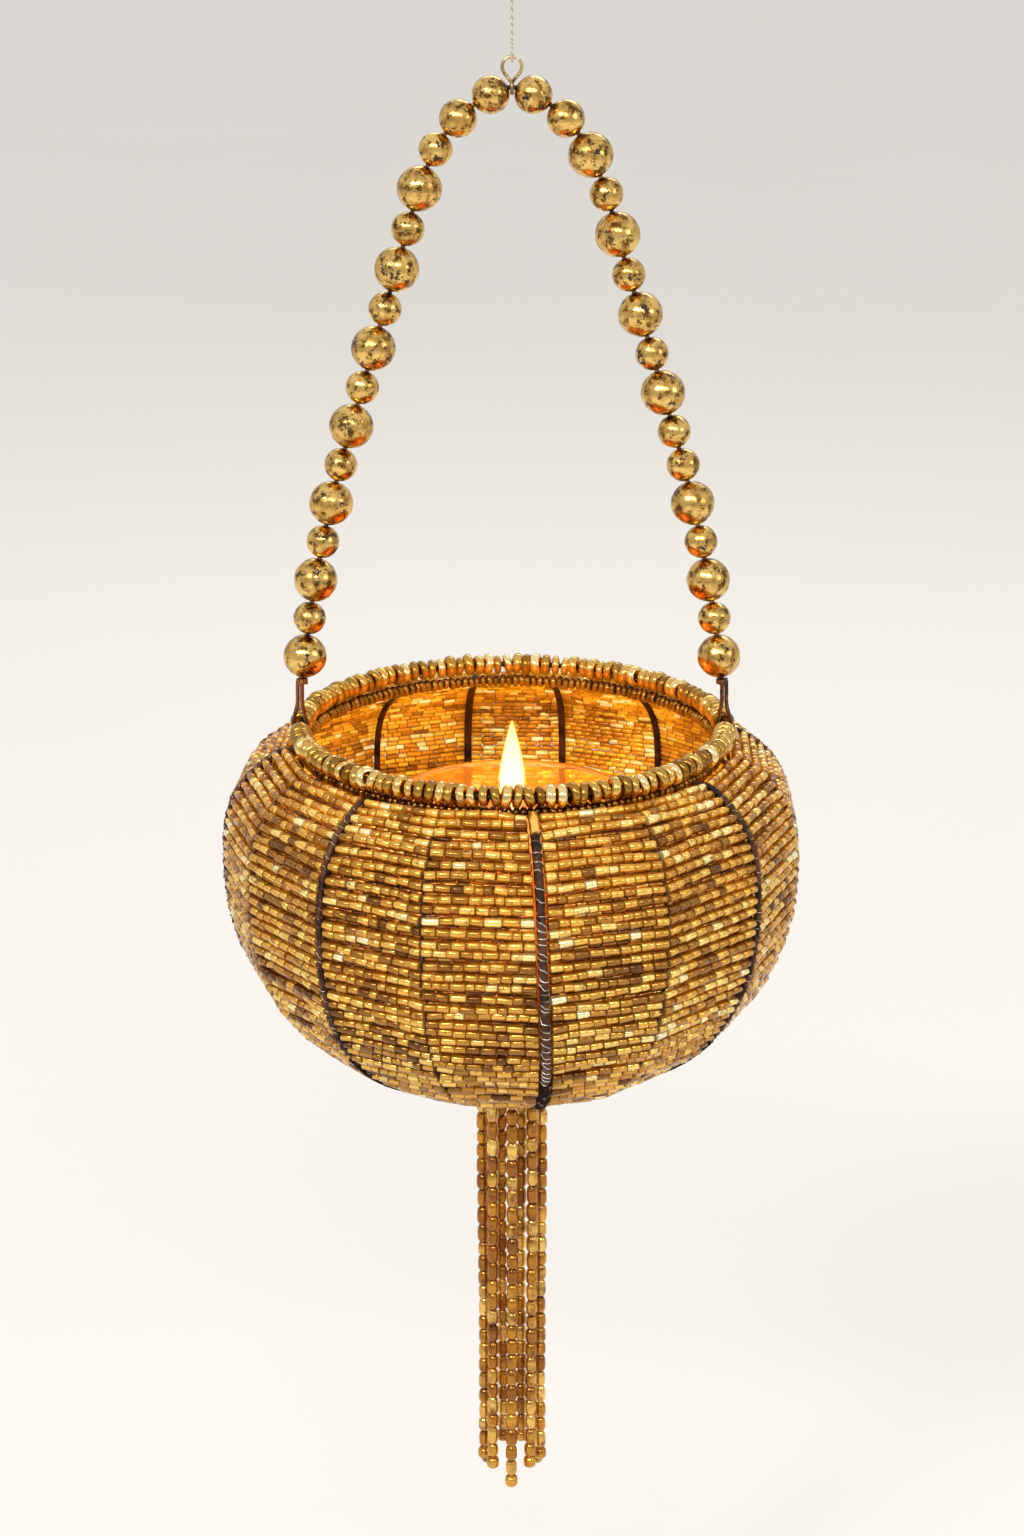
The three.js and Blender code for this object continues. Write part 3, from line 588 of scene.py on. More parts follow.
CORE_TONES = [(0.0, (0.25, 0.3, 0.8)), (0.12, (1.0, 0.62, 0.2)), (0.4, (1.0, 0.93, 0.7)), (0.8, (1.0, 0.86, 0.42)),
              (1.0, (1.0, 0.55, 0.1))]
VEIL_TONES = [(0.0, (0.2, 0.3, 0.9)), (0.2, (1.0, 0.5, 0.1)), (1.0, (1.0, 0.6, 0.12))]
flame_core = flame_glow("flame_core", CORE_TONES, 1.6, [(0.0, 1.0), (1.0, 1.0)])
flame_veil = flame_glow("flame_veil", VEIL_TONES, 1.2, [(0.0, 0.1), (0.3, 0.35), (1.0, 0.4)])
print("flame made")

# %% [markdown]
# ## Thread
# The holder hangs on one thin pale thread. Its straight run is held taut, so it ends in its knot just outside the
# view. A small loop at its foot goes through the eye and a larger one above takes the hook.

# %% Thread, loops and knot
THREAD_DIAMETER = 0.5
RUN_FOOT = 146.63
RUN_HEAD = 177.73
KNOT_CENTRE = 178.83
KNOT_RADIUS = 0.42
run_points = [row_frame(0, 0, RUN_FOOT + (RUN_HEAD - RUN_FOOT) * i / 16) for i in range(17)]
thread_run = wire("thread_run", run_points, THREAD_DIAMETER, smooth=False, fine=4)
UPRIGHT = pi / 2
LOOP_STEPS = (40, 10)
lower_loop = torus("thread_lower_loop", 1.9, THREAD_DIAMETER, 144.73, LOOP_STEPS, (UPRIGHT, 0, UPRIGHT))
upper_loop = torus("thread_upper_loop", 3.2, THREAD_DIAMETER, 182.83, LOOP_STEPS, (UPRIGHT, 0, 0))
knot_turns = [row_frame(KNOT_RADIUS * cos(t * 1.3), KNOT_RADIUS * sin(t * 1.3), KNOT_CENTRE - 0.5 + 0.06 * t)
              for t in range(17)]
upper_loop = joined("thread_upper_loop", [upper_loop, wire("knot_turns", knot_turns, 0.62)])
dress(thread_run, "thread", pale_thread, "thread", "hanging_thread")
dress(lower_loop, "thread", pale_thread, "thread", "hanging_thread")
dress(upper_loop, "thread_top", pale_thread, "thread", "thread_loop")
print(f"thread run {RUN_HEAD - RUN_FOOT:.1f} mm")

# %% [markdown]
# ## Eye
# One pale gold wire passes under the handle wire and comes round into a teardrop, its two ends almost meeting at
# the top right. A curve through the bends that a pair of pliers would make gives the same even wire.

# %% Hanging eye
CROWN = 137.6
EYE_CENTRE = 141.75
EYE_RADIUS = 2.0
EYE_HOOK = 1.22
EYE_WIRE = 0.74


def on_eye(angle):
    turn = radians(angle)
    return row_frame(EYE_RADIUS * sin(turn), 0, EYE_CENTRE + EYE_RADIUS * cos(turn))


slant = EYE_HOOK * sqrt(0.5)
hook = [(-0.62, -0.3, 1.75), (-0.1, -0.9, 0.9), (0, -EYE_HOOK, 0), (0, -slant, -slant), (0, 0, -EYE_HOOK),
        (0, slant, -slant), (0, EYE_HOOK, 0), (0.1, 0.9, 0.9), (0.62, 0.3, 1.75)]
eye_points = [on_eye(d) for d in (28, 0, -30, -60, -90, -122)]
eye_points += [row_frame(x, y, CROWN + z) for x, y, z in hook]
eye_points += [on_eye(d) for d in (122, 90, 64, 46)]
eye = wire("eye_wire", eye_points, EYE_WIRE, fine=4)
dress(eye, "eye", pale_brass, "pale_brass_wire", "hanging_eye")
print("eye of", len(eye.data.polygons), "faces")

# %% [markdown]
# ## Handle
# Sixteen round beads on each side, in gold leaf over a dark ground, alternate between two main sizes on one stiff
# wire. The bead is a sphere whose poles are opened and bridged into a bore, and faint dents keep it from looking
# machined. At each foot a dark copper collar holds a long link, bent round the rim wire.


# %% One leafed bead
def open_and_bore(bead):
    """Takes the poles off a sphere and bridges the two openings."""
    top = max(v.co.z for v in bead.data.vertices)
    only(bead)
    mode("EDIT")
    bpy.ops.mesh.select_all(action="DESELECT")
    mode("OBJECT")
    for vertex in bead.data.vertices:
        vertex.select = abs(vertex.co.z) > top * 0.999
    mode("EDIT")
    bpy.ops.mesh.select_mode(type="VERT")
    bpy.ops.mesh.delete(type="VERT")
    bpy.ops.mesh.select_non_manifold()
    bpy.ops.mesh.bridge_edge_loops()
    bpy.ops.mesh.select_all(action="SELECT")
    bpy.ops.mesh.normals_make_consistent(inside=False)
    mode("OBJECT")


def leaf_bead(name, dent_size):
    deselect()
    bpy.ops.mesh.primitive_uv_sphere_add(segments=32, ring_count=20, radius=1)
    bead = named(name)
    open_and_bore(bead)
    dents = bpy.data.textures.new("dents", "CLOUDS")
    dents.noise_scale = dent_size
    push = bead.modifiers.new("dents", "DISPLACE")
    push.texture = dents
    push.strength = 0.04
    push.mid_level = 0.5
    bpy.ops.object.modifier_apply(modifier="dents")
    widest = max(vertex.co.length for vertex in bead.data.vertices)
    bead.scale = (1 / widest,) * 3
    return settle(bead, 60)


bead_patterns = [leaf_bead("leaf_bead_pattern", 0.9), leaf_bead("leaf_bead_pattern_2", 0.6)]
print("leaf bead of", len(bead_patterns[0].data.polygons), "faces")

# %% Thirty-two handle beads
handle_run = []
for side, order in (("left", range(16, 0, -1)), ("right", range(1, 17))):
    for i in order:
        low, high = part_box(f"handle_bead_{side}_{i}")
        handle_run.append((side, i, (low + high) / 2, max(high - low)))
FOOT_X = 45.9
LINK_TOP = 10.4
foot_left, foot_right = row_frame(-FOOT_X, 0, LINK_TOP), row_frame(FOOT_X, 0, LINK_TOP)
line = [foot_left, *(centre for _, _, centre, _ in handle_run), foot_right]
for k, (side, i, centre, size) in enumerate(handle_run):
    along = line[k + 2] - line[k]
    radius = size / 2
    place = set_down(centre, along, radius, radius, roll=random.uniform(0, tau))
    bead = strew(f"leaf_bead_{side}_{i}", bead_patterns[k % 2], [place], [random.random()], angle=60)
    dress(bead, "handle", gold_leaf, "gold_leaf_bead", f"handle_bead_{side}_{i}")
for pattern in bead_patterns:
    drop(pattern)
print("handle beads:", len(handle_run))

# %% Handle wire, collars and links
arch_points = [foot_left, *(c for s, _, c, _ in handle_run if s == "left"), row_frame(0, 0, CROWN),
               *(c for s, _, c, _ in handle_run if s == "right"), foot_right]
arch_wire = wire("arch_wire", arch_points, 1.0)
dress(arch_wire, "handle", copper_wire, "copper_wire", "handle_wire")
LINK_EYE = 0.6 + 0.35 + 0.45
NARROW = 0.65
link_slant = LINK_EYE * sqrt(0.5)
LINK_BENDS = [(-NARROW, LINK_TOP), (-NARROW, LINK_TOP - 2), (-NARROW, 5), (-1.15, 2.2), (-LINK_EYE, 0),
              (-link_slant, -link_slant), (0, -LINK_EYE), (link_slant, -link_slant), (LINK_EYE, 0), (1.15, 2.2),
              (NARROW * 0.7, 5), (NARROW * 0.5, LINK_TOP - 2), (NARROW * 0.4, LINK_TOP)]
for side, label in ((-1, "left"), (1, "right")):
    link = wire(f"link_{label}", [row_frame(side * (RIM_RADIUS + x), 0, z) for x, z in LINK_BENDS], 0.9)
    coil = []
    for t in range(37):
        turn = t * pi / 6
        coil.append(row_frame(side * FOOT_X + cos(turn), sin(turn), LINK_TOP - 0.55 + 0.03 * t))
    for piece in (link, wire(f"collar_{label}", coil, 0.6)):
        dress(piece, "handle", copper_wire, "copper_wire", "handle_wire")
print("handle wire, 2 links and 2 collars")

# %% [markdown]
# ## Rim
# Shiny gold rondelles are strung side by side round the rim wire, and each sits a little askew. A row of smaller
# beads is strung on the ring below them, kept in dark tones as painted shade under the rondelles. A torus with few
# faces is close to a pressed rondelle, and its copies are tilted and sized at random.

# %% Rondelles and the small row below
RONDELLE_COUNT = 62
SMALL_ROW = (45.7, -3.77)
SMALL_COUNT = 92
HOOK_BAY = 4.6
bay = degrees(HOOK_BAY / 2 / RIM_RADIUS)


def bead_ring(name, pattern, radius, height, start, count, wobble, dullest=0.2, brightest=1.0):
    places, tones = [], []
    for i in range(count):
        angle = start + bay + (180 - 2 * bay) * (i + 0.5) / count
        centre = around(angle, radius + random.uniform(-wobble, wobble), height + random.uniform(-wobble, wobble))
        along = around(angle + 1, radius, height) - around(angle - 1, radius, height)
        along += Vector([random.uniform(-1, 1) for _ in range(3)]) * along.length * 0.26
        size = random.uniform(0.86, 1.04)
        places.append(set_down(centre, along, size * random.uniform(0.85, 1.15), size))
        tones.append(dullest + (brightest - dullest) * random.random())
    return strew(name, pattern, places, tones, angle=70)


RONDELLE_STEPS = (14, 8)
rondelle_pattern = torus("rondelle_pattern", 1.62, 1.92, steps=RONDELLE_STEPS, flat=1.12)
small_pattern = torus("small_bead_pattern", 0.95, 1.12, steps=RONDELLE_STEPS, flat=1.25)
for label, start in (("front", -90), ("back", 90)):
    rim_row = bead_ring(f"rim_rondelles_{label}", rondelle_pattern, RIM_RADIUS, 0, start, RONDELLE_COUNT, 0.2)
    dress(rim_row, "bowl", rondelle_gold, "rondelle_gold", f"rim_beads_{label}")
    # The small row takes only the darkest tones, 0 to 0.3: painted shade under the rondelles
    lower_row = bead_ring(f"small_rim_beads_{label}", small_pattern, *SMALL_ROW, start, SMALL_COUNT, 0.12, 0.0, 0.3)
    dress(lower_row, "bowl", rondelle_gold, "rondelle_gold", "wire_frame")
drop(rondelle_pattern)
drop(small_pattern)
print("rondelles:", 2 * RONDELLE_COUNT)

# %% [markdown]
# ## Ribs and rings
# Sixteen dark ribs carry the bowl. Every other one lies bare between the bead rows and is bound with thin wire,
# silver on the front one, and the ones between are flat strips inside the beads. A rib is modelled once at the
# front, and its copies are turned to their own angles, with the lean of each growing as it goes down.

# %% Ribs
BARE_RIBS = range(0, len(RIBS), 2)
COVERED_RIBS = range(1, len(RIBS), 2)
BARE_DEPTH = 0.9
COVERED_DEPTH = 3.55
TOP_RING = (45.6, -3.77)
BASE_RING = (11.5, -78.71)
WALL_LENGTH = WALL_END - WALL_START
RIB_STEPS = 23


def rib_points(depth, first):
    points = [around(0, *TOP_RING)]
    for i in range(RIB_STEPS + 1):
        points.append(around(0, *outline_at(first + (WALL_END - 1.3 - first) * i / RIB_STEPS, depth)))
    return points + [around(0, *BASE_RING)]


def laid(name, pattern, ribs):
    """Copies of a rib modelled at the front, each turned to the angle that it has at every height."""
    piece = strew(name, pattern, [Matrix.Identity(4)] * len(ribs), [0.5] * len(ribs), angle=60)
    drop(pattern)
    points = read(piece.data.vertices, "co", 3).reshape(len(ribs), -1, 3)
    for rib, copy in zip(ribs, points):
        drops = RIM_PLANE - copy[:, 2] / MM
        turn = np.radians(rib_angle(rib, np.interp(drops, -outline_z, outline_length)))
        x, y = copy[:, 0].copy(), copy[:, 1].copy()
        copy[:, 0] = x * np.cos(turn) - y * np.sin(turn)
        copy[:, 1] = x * np.sin(turn) + y * np.cos(turn)
    piece.data.vertices.foreach_set("co", points.reshape(-1))
    piece.data.update()
    return piece


def flat_strip(name, points, widening):
    strip = wire(name, points, 1.0)
    only(strip)
    mode("EDIT")
    bpy.ops.mesh.select_all(action="SELECT")
    bpy.ops.transform.resize(value=(widening, 1, 1), center_override=(0, 0, 0))
    mode("OBJECT")
    return strip


FRONT_GIRTH = 1.8
SIDE_GIRTH = 1.2
front_line, side_line = rib_points(BARE_DEPTH, WALL_START + 3.9), rib_points(BARE_DEPTH, WALL_START + 2)
covered_line, inner_line = rib_points(COVERED_DEPTH, WALL_START), rib_points(COVERED_DEPTH - 0.6, WALL_START)
front_rib = laid("front_rib", wire("front_rib_pattern", front_line, FRONT_GIRTH), BARE_RIBS[:1])
bare_ribs = laid("bare_ribs", wire("bare_rib_pattern", side_line, SIDE_GIRTH), BARE_RIBS[1:])
covered_ribs = laid("covered_ribs", flat_strip("covered_pattern", covered_line, 1.7), COVERED_RIBS)
inner_strips = laid("inner_strips", flat_strip("inner_pattern", inner_line, 1.8), BARE_RIBS)
for piece in (front_rib, bare_ribs, covered_ribs, inner_strips):
    dress(piece, "bowl", dark_rib, "dark_iron", "wire_frame")
print("ribs:", len(RIBS))

# %% Rings, spokes and ties
TASSEL_RING = (6.9, -81.5)
TIE_ANGLE = 90 + degrees(1.65 / RIM_RADIUS)
RINGS = {"rim_wire": (RIM_RADIUS, 1.2, 0), "top_ring": (TOP_RING[0], 1.2, TOP_RING[1]),
         "base_ring": (BASE_RING[0], 1.8, BASE_RING[1]), "tassel_ring": (TASSEL_RING[0], 1.4, TASSEL_RING[1])}
rings = [torus(name, *sizes) for name, sizes in RINGS.items()]
spokes = [wire(f"spoke_{a}", [around(a, *TASSEL_RING), around(a, *BASE_RING)], 1.2, smooth=False)
          for a in (20, 140, 260)]
ties = [wire(f"rim_tie_{round(a)}", [around(a, *TOP_RING), around(a, RIM_RADIUS, 0)], 0.7, smooth=False)
        for a in (-TIE_ANGLE, TIE_ANGLE)]
frame_rings = joined("frame_rings", rings + spokes + ties)
dress(frame_rings, "bowl", dark_iron, "dark_iron", "wire_frame")
print("rings, spokes and ties:", len(rings), len(spokes), len(ties))


# %% Binding wire
def binding(name, rib, first, last, pitch, girth, jumps):
    """Wire wound round a bare rib between two lengths, by uneven turns."""
    reach = ((FRONT_GIRTH if rib == 0 else SIDE_GIRTH) + girth) / 2
    length, turn, points = first, random.uniform(0, 6), []
    while length < last:
        angle = rib_angle(rib, length)
        sideways = Matrix.Rotation(radians(angle), 3, "Z") @ Vector((1, 0, 0))
        centre = around(angle, *outline_at(length, BARE_DEPTH))
        out = (around(angle, *outline_at(length, BARE_DEPTH - 1)) - centre).normalized()
        swing = out * cos(turn) + sideways * sin(turn)
        points.append(centre + swing * (reach + random.uniform(-0.04, 0.05)) * MM)
        turn += tau / 9
        length += pitch / 9 * random.choice(jumps)
    return wire(name, points, girth, smooth=False, fine=0)


CLOSE_START = WALL_START + 0.6 * WALL_LENGTH
for i, rib in enumerate(BARE_RIBS):
    loose = binding(f"rib_binding_{i + 1}", rib, WALL_START + 4, CLOSE_START, 2.0, 0.26, (0.0, 0.1, 0.6, 1.0, 3.2))
    close = binding(f"rib_wrap_{i + 1}", rib, CLOSE_START, WALL_END - 2, 0.6, 0.36, (0.2, 0.6, 1.0, 2.2))
    dress(loose, "bowl", dull_wire if rib else silver_wire, "dark_iron", "wire_frame")
    dress(close, "bowl", close_wrap, "dark_iron", "wire_frame")
print("bound ribs:", len(BARE_RIBS))

# %% [markdown]
# ## Wall of tube beads
# Rows of short gold-lined glass tubes run in straight chords from rib to rib, and a second layer behind them
# closes the gaps and shows inside; its darker tones are painted shade between the rows. The tube is a cylinder
# with bevelled ends. Every copy has its own length, girth, tilt and tone, which is what makes the wall sparkle
# unevenly like the real one.

# %% One tube bead
TUBE_DIAMETER = 1.9
TUBE_LENGTH = 2.8
TUBE_BEVEL = 0.2
TUBE_GAP = 0.1


def tube_bead(name, sides):
    deselect()
    bpy.ops.mesh.primitive_cylinder_add(vertices=sides, radius=TUBE_DIAMETER / 2 * MM, depth=TUBE_LENGTH * MM)
    made = named(name)
    mode("EDIT")
    bpy.ops.mesh.select_mode(type="EDGE")
    bpy.ops.mesh.select_all(action="DESELECT")
    mode("OBJECT")
    for edge in made.data.edges:
        middle = sum(made.data.vertices[v].co.z for v in edge.vertices) / 2
        edge.select = abs(middle) > TUBE_LENGTH * MM * 0.45
    mode("EDIT")
    bpy.ops.mesh.bevel(offset=TUBE_BEVEL * MM, segments=1)
    mode("OBJECT")
    return settle(made, 50)


tube_pattern = tube_bead("tube_pattern", 8)
inner_pattern = tube_bead("inner_tube_pattern", 6)
print("tube bead of", len(tube_pattern.data.polygons), "faces")


# %% Rows
def chord_beads(start, end, mean_length, wobble, bow):
    """The places of beads strung from one point to another."""
    whole = (end - start).length / MM
    lengths = []
    while sum(lengths) < whole:
        lengths.append(mean_length * random.choice((0.72, 0.85, 1.0, 1.0, 1.1, 1.25)))
    if len(lengths) > 1 and sum(lengths) - whole > lengths[-1] / 2:
        lengths.pop()
    fit = whole / sum(lengths)
    along, at, places = (end - start).normalized(), 0.0, []
    for length in lengths:
        length *= fit
        share = (at + length / 2) / whole
        drift = Vector([random.gauss(0, 1) for _ in range(3)]) * wobble * MM
        drift.z += bow * sin(pi * share) * MM
        centre = start + along * share * whole * MM + drift
        lean = along + Vector((0, 0, random.gauss(0, 0.05) + bow * pi * cos(pi * share) / whole))
        girth = random.uniform(0.9, 1.06)
        places.append(set_down(centre, lean, (length - TUBE_GAP) / TUBE_LENGTH, girth, roll=random.uniform(-0.3, 0.3)))
        at += length
    return places


OUTER_PITCH = 2.42
INNER_PITCH = 1.21
FRONT_INSET = 1.3
SIDE_INSET = 0.85


def bead_rows(name, pattern, panel, depth, pitch, girth, sway):
    """All the rows of one panel, which runs over two chords from one bare rib to the next."""
    places, tones = [], []
    row_count = round(WALL_LENGTH / pitch)
    for row in range(row_count):
        length = WALL_START + (row + 0.5) * WALL_LENGTH / row_count
        if length > WALL_END - 0.3:
            continue
        radius, height = outline_at(length, depth)
        angles = [rib_angle(2 * panel, length), rib_angle(2 * panel + 1, length), rib_angle(2 * panel + 2, length)]
        angles[2] += 360 if angles[2] < angles[0] else 0
        row_tone = random.gauss(0, 0.08)
        ends = [around(a, radius, height + random.gauss(0, sway)) for a in angles]
        for rib, last in ((2 * panel, 0), (2 * panel + 2, 2)):
            inset = FRONT_INSET if rib % len(RIBS) == 0 else SIDE_INSET
            ends[last] = ends[last] + (ends[1] - ends[last]).normalized() * inset * MM
        for first, last in ((ends[0], ends[1]), (ends[1], ends[2])):
            parting = (last - first).normalized() * random.choice((0, 0, 0.1, 0.3, 0.5)) * MM
            if last is ends[1]:
                last = last - parting
            else:
                first = first + parting
            made = chord_beads(first, last, TUBE_LENGTH, sway / 3, random.gauss(0, sway))
            places += [m @ Matrix.Diagonal((girth, girth, 1, 1)) for m in made]
            tones += [min(1, max(0, random.betavariate(2.2, 2.4) + row_tone)) for _ in made]
    return strew(name, pattern, places, tones, angle=62), len(places)


total = 0
for panel in range(len(RIBS) // 2):
    outer, outer_count = bead_rows(f"bead_rows_{panel + 1}", tube_pattern, panel, 1.0, OUTER_PITCH, 1.0, 0.22)
    inner, inner_count = bead_rows(f"inner_rows_{panel + 1}", inner_pattern, panel, 2.15, INNER_PITCH, 0.66, 0.05)
    dress(outer, "bowl", outer_beads, "gold_lined_amber_glass", f"bead_panel_{panel + 1}")
    dress(inner, "bowl", inner_beads, "gold_lined_amber_glass", f"bead_panel_{panel + 1}")
    total += outer_count + inner_count
drop(inner_pattern)
print("tube beads:", total)

# %% Thread at the covered ribs
def corner_thread(name, rib):
    """Dark thread that ties the rows to a covered rib, seen where two chords part."""
    points, length = [], WALL_START
    while length < WALL_END:
        sideways = random.gauss(0, 0.35)
        point = outline_at(length, 1.5 + random.uniform(-0.6, 0.4))
        points.append(around(rib_angle(rib, length) + degrees(sideways / point[0]), *point))
        length += random.uniform(0.5, 1.3)
    return wire(name, points, 0.5, smooth=False, fine=1)


for i, rib in enumerate(COVERED_RIBS):
    dress(corner_thread(f"corner_thread_{i + 1}", rib), "bowl", dark_rib, "dark_iron", "wire_frame")
print("corner threads:", len(COVERED_RIBS))

# %% Bugle bead on the front rib
low, centre, high = (around(RIBS[0][0], *outline_at(WALL_START + down, 0.4)) for down in (5, 3, 1))
bugle = strew("front_bugle_bead", tube_pattern, [set_down(centre, low - high, 2.0, 1.05)], [0.75])
dress(bugle, "bowl", outer_beads, "gold_lined_amber_glass")
drop(tube_pattern)
print("bugle bead at", tuple(round(c, 4) for c in centre))

# %% [markdown]
# ## Candle glass
# A tapered votive glass stands on a small brass plate over the ribs. It holds orange wax, a wick on its tin tab
# and a lit flame. All of these but the wick, which is a bent wire, are turned shapes, spun from a profile.

# %% Plate, glass, wax
PLATE_TOP = -75.144
GLASS_BASE = -74.844
GLASS_RIM = -17.244
GLASS_FLOOR = GLASS_BASE + 4
WAX_TOP = -24.544


def glass_inside(height):
    return 22 + 6.5 * (height - GLASS_BASE) / (GLASS_RIM - GLASS_BASE) - 2


plate = turned("glass_plate", above(PLATE_TOP, (0, -1.2), (19.1, -1.2), (19.4, -1.0), (19.5, -0.6), (19.4, -0.15),
                                    (19.1, 0), (0, 0)))
foot = above(GLASS_BASE, (0, 0.8), (18, 0.8), (19.5, 0), (21.2, 0), (21.8, 0.3), (22.0, 0.9))
lip = above(GLASS_RIM, (28.42, -0.9), (28.35, -0.35), (28.0, -0.05), (27.5, 0), (27.0, -0.05), (26.6, -0.4),
            (26.45, -0.9))
inner_floor = above(GLASS_FLOOR, (glass_inside(GLASS_FLOOR + 1.4), 1.4), (glass_inside(GLASS_FLOOR) - 0.5, 0.4),
                    (glass_inside(GLASS_FLOOR) - 1.6, 0), (0, 0))
glass = turned("candle_cup", foot + lip + inner_floor)
dress(plate, "bowl", brass_plate, "brass_plate", "base_plate")
dress(glass, "candle_glass", clear_glass, "clear_glass", "votive_glass")
WAX_GAP = 0.12
TAB_BOTTOM = GLASS_FLOOR + 0.3
wax_edge = glass_inside(WAX_TOP) - WAX_GAP
wax_foot = above(TAB_BOTTOM, (0, 1.4), (6.9, 1.4), (6.9, 0), (glass_inside(TAB_BOTTOM) - 1.2, 0),
                 (glass_inside(TAB_BOTTOM + 1) - WAX_GAP, 1))
wax_pool = above(WAX_TOP, (wax_edge, 0), (wax_edge - 0.4, -0.1), (wax_edge - 1.2, -0.5), (12, -0.6), (5, -0.9),
                 (1.6, -0.8), (0, -0.6))
wax_body = turned("candle_wax_fill", wax_foot + wax_pool)
dress(wax_body, "candle_glass", wax, "wax", "candle_wax")
print("glass, wax and plate turned")

# %% Wick and flame
WICK_LINE = ((0, TAB_BOTTOM + 0.4), (0, WAX_TOP), (0.2, WAX_TOP + 3), (0.8, WAX_TOP + 6))
wick = wire("burnt_wick", [row_frame(x, 0, z) for x, z in WICK_LINE], 1.5)
tab = turned("wick_tab", above(TAB_BOTTOM, (0, 0), (6.3, 0), (6.5, 0.2), (6.5, 0.5), (6.3, 0.7), (1.6, 0.8), (1.2, 1.2),
                               (0, 1.2)), 48)
dress(wick, "candle_glass", charred, "wick", "candle_wick")
dress(tab, "candle_glass", tin, "wick", "candle_wick")
FLAME = [(0.0, -21.6), (0.9, -21.2), (1.9, -19.4), (2.6, -17), (2.95, -14.4), (3.0, -12.2), (2.75, -9.6), (2.2, -6.6),
         (1.5, -3.6), (0.8, -1.0), (0.35, 0.6), (0.0, 1.5)]
core = turned("flame_inner", [(r * 0.86, z) for r, z in FLAME[:-1]] + [(0.0, 0.9)], 32)
veil = turned("flame_outer", FLAME, 32)
dress(core, "candle_glass", flame_core, "wick")
dress(veil, "candle_glass", flame_veil, "wick")
print("flame", FLAME[-1][1] - FLAME[0][1], "mm high")

# %% [markdown]
# ## Tassel
# Nine strands of oval amber beads hang from the ring below the bowl, each on its own thread that is looped round
# the ring, and each ends in a round bead. The oval is a sphere with an open bore. Its copies differ in length.

# %% Oval bead and strands
STRAND_BEADS = [26, 25, 25, 26, 25, 25, 26, 25, 25]
LOOP_RADIUS = 1.25
NECK = 2.4
UPWARD = (0, 0, 1)
deselect()
bpy.ops.mesh.primitive_uv_sphere_add(segments=10, ring_count=8, radius=1)
oval = named("oval_pattern")
for vertex in oval.data.vertices:
    reach = hypot(vertex.co.x, vertex.co.y)
    if reach > 0.01:
        swell = (1 - abs(vertex.co.z) ** 3) ** (1 / 3) / reach
        vertex.co.x, vertex.co.y = vertex.co.x * swell, vertex.co.y * swell
open_and_bore(oval)
for i, count in enumerate(STRAND_BEADS):
    angle = 360 / len(STRAND_BEADS) * i
    hang = around(angle, *TASSEL_RING)
    top = hang.z / MM - LOOP_RADIUS - NECK
    lengths = [random.choice((3.5, 3.8, 4.0, 4.2, 4.5)) for _ in range(count - 1)]
    fit = 4.0 * (count - 1) / sum(lengths)
    places, tones, at = [], [], top
    waves = [(random.uniform(0.1, 0.35), random.uniform(0, tau), random.uniform(0.02, 0.05)) for _ in range(2)]

    def strand_point(z):
        """The strand hangs a little unevenly, more so the lower it is."""
        slack = min(1.0, (top - z) / 40)
        x, y = (slack * size * sin(start + rate * (top - z)) for size, start, rate in waves)
        return Vector((hang.x + x * MM, hang.y + y * MM, z * MM))

    for length in lengths:
        length *= fit
        girth = random.uniform(1.28, 1.46)
        tilt = random.gauss(0, 0.06)
        places.append(set_down(strand_point(at - length / 2), UPWARD, length / 2 * 1.04 * MM, girth * MM, tilt=tilt))
        tones.append(random.random())
        at -= length
    places.append(set_down(strand_point(at - 1.5), UPWARD, 1.5 * MM, 1.55 * MM))
    tones.append(0.6)
    beads = strew(f"strand_beads_{i + 1}", oval, places, tones, angle=70)
    dress(beads, f"strand_{i + 1}", amber_glass, "amber_glass", f"tassel_strand_{i + 1}")
    turn = radians(angle)
    sideways = Vector((sin(turn), -cos(turn), 0))
    loop = []
    for t in range(21):
        turn = t * tau / 20
        loop.append(hang + (sideways * sin(turn) - Vector(UPWARD) * cos(turn)) * LOOP_RADIUS * MM)
    run = [strand_point(top + (at - top) * k / 24) for k in range(25)]
    thread = wire(f"strand_thread_{i + 1}", loop + run, 0.5, smooth=False, fine=2)
    dress(thread, f"strand_{i + 1}", amber_thread, "thread", f"tassel_strand_{i + 1}")
drop(oval)
print("strand beads:", sum(STRAND_BEADS))

# %% [markdown]
# ## Room and light
# The holder hangs over a plain pale floor in soft light: a small lamp and a long strip from the upper left, weaker
# lamps from the right and from behind, and an even pale surround, which the metal mirrors too.

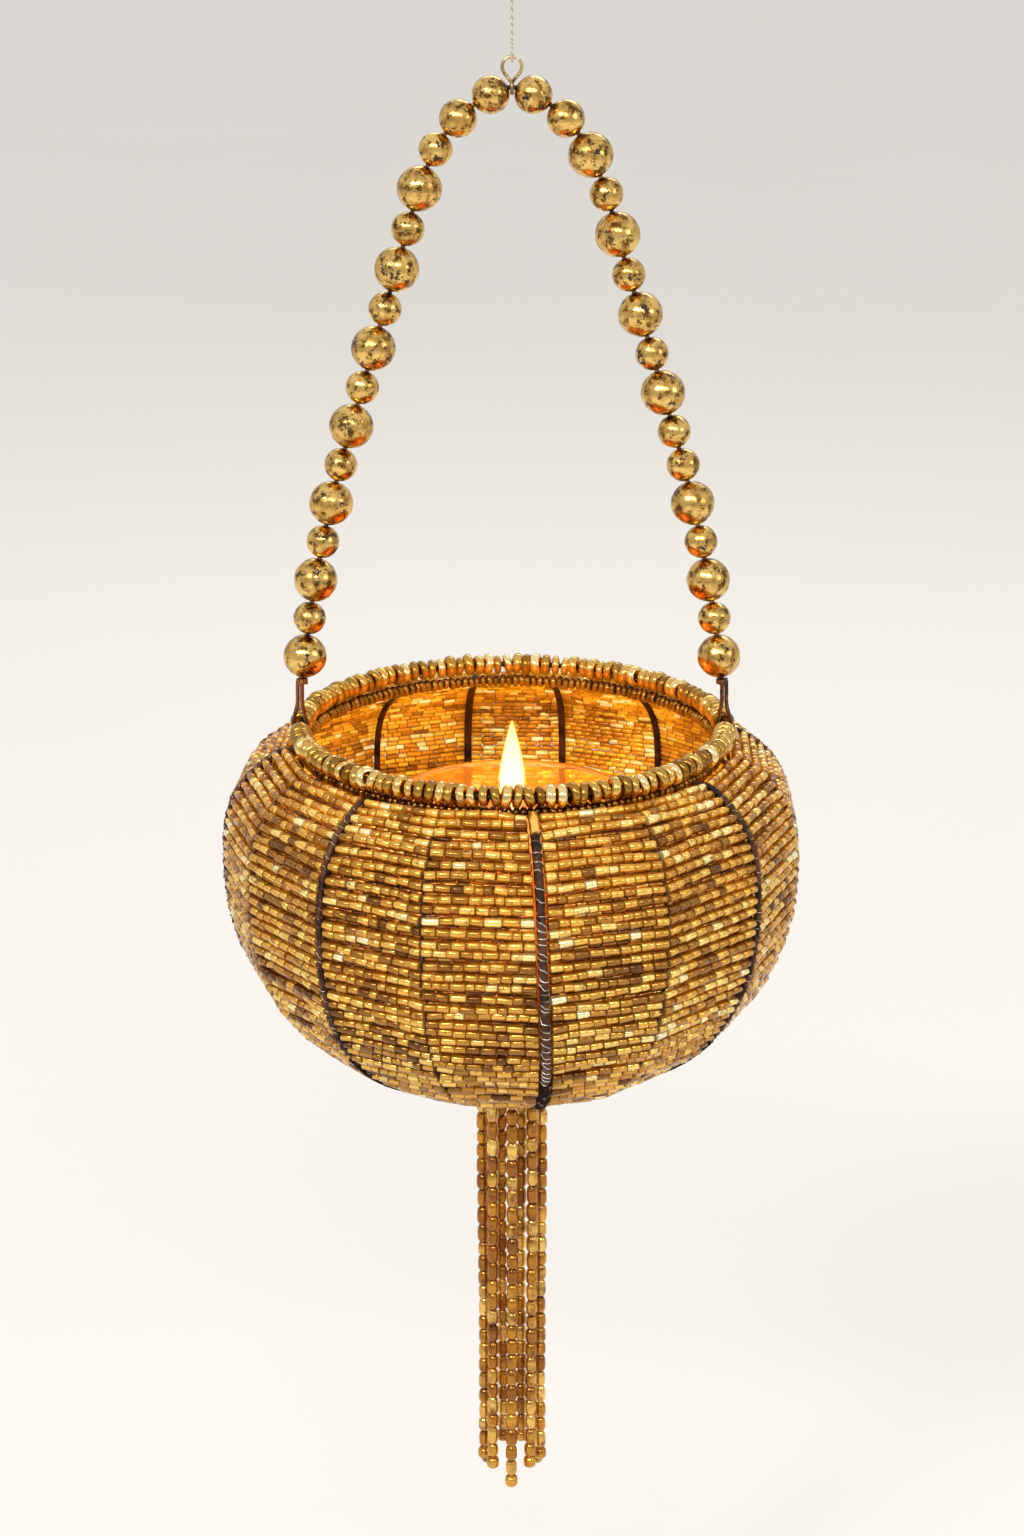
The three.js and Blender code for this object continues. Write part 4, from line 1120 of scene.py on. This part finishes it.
# %% Floor
FLOOR_HEIGHT = -0.46
deselect()
bpy.ops.mesh.primitive_plane_add(size=30, location=(0, 0, FLOOR_HEIGHT))
floor = named("floor")
bpy.ops.object.transform_apply(location=True)
floor_paint, tree, inputs = new_material("floor_paint", Roughness=0.9)
grain = shader_node(tree, "TexNoise", {"Vector": own_place(tree), "Scale": 3.0, "Detail": 3.0}).outputs["Fac"]
vary(tree, inputs, grain, Base_Color=((0.82, 0.80, 0.77), (0.85, 0.83, 0.80)))
floor.data.materials.append(floor_paint)
print("floor at", FLOOR_HEIGHT)


# %% Lamps and surround
LAMPS_AIM = (0, 0, -0.2)
LOW_SKY = (0.64, 0.625, 0.60)


def lamp(name, place, width, height, watts, colour):
    data = bpy.data.lights.new(name, "AREA")
    data.shape = "ELLIPSE"
    data.size = width
    data.size_y = height
    data.energy = watts
    data.color = colour
    made = shown(name, data)
    made.location = place
    aim = Vector(LAMPS_AIM) - Vector(place)
    made.rotation_euler = aim.to_track_quat("-Z", "Y").to_euler()


lamp("key_lamp", (-0.8, -1.1, 0.8), 0.3, 0.3, 4, (1.0, 0.98, 0.95))
lamp("strip_lamp", (-0.3, -1.2, 0.75), 1.8, 0.12, 9.5, (1.0, 0.98, 0.95))
lamp("side_lamp", (1.1, -0.6, 0.3), 0.4, 0.4, 1.5, (1.0, 0.95, 0.88))
lamp("back_lamp", (0.2, 1.1, 0.7), 1.2, 0.2, 3.5, (1.0, 0.96, 0.9))
world = bpy.data.worlds.new("surround")
scene.world = world
world.use_nodes = True
tree = world.node_tree
direction = shader_node(tree, "TexCoord").outputs["Generated"]
upward = shader_node(tree, "SeparateXYZ", {"Vector": direction}).outputs["Z"]
sky = ramp(tree, upward, (0.0, LOW_SKY), (0.2, LOW_SKY), (0.55, (0.86, 0.85, 0.83)), (1.0, (0.88, 0.87, 0.85)))
feed(sky, tree.nodes["Background"].inputs["Color"])
scene.view_settings.view_transform = "Standard"
print("lamps: 4")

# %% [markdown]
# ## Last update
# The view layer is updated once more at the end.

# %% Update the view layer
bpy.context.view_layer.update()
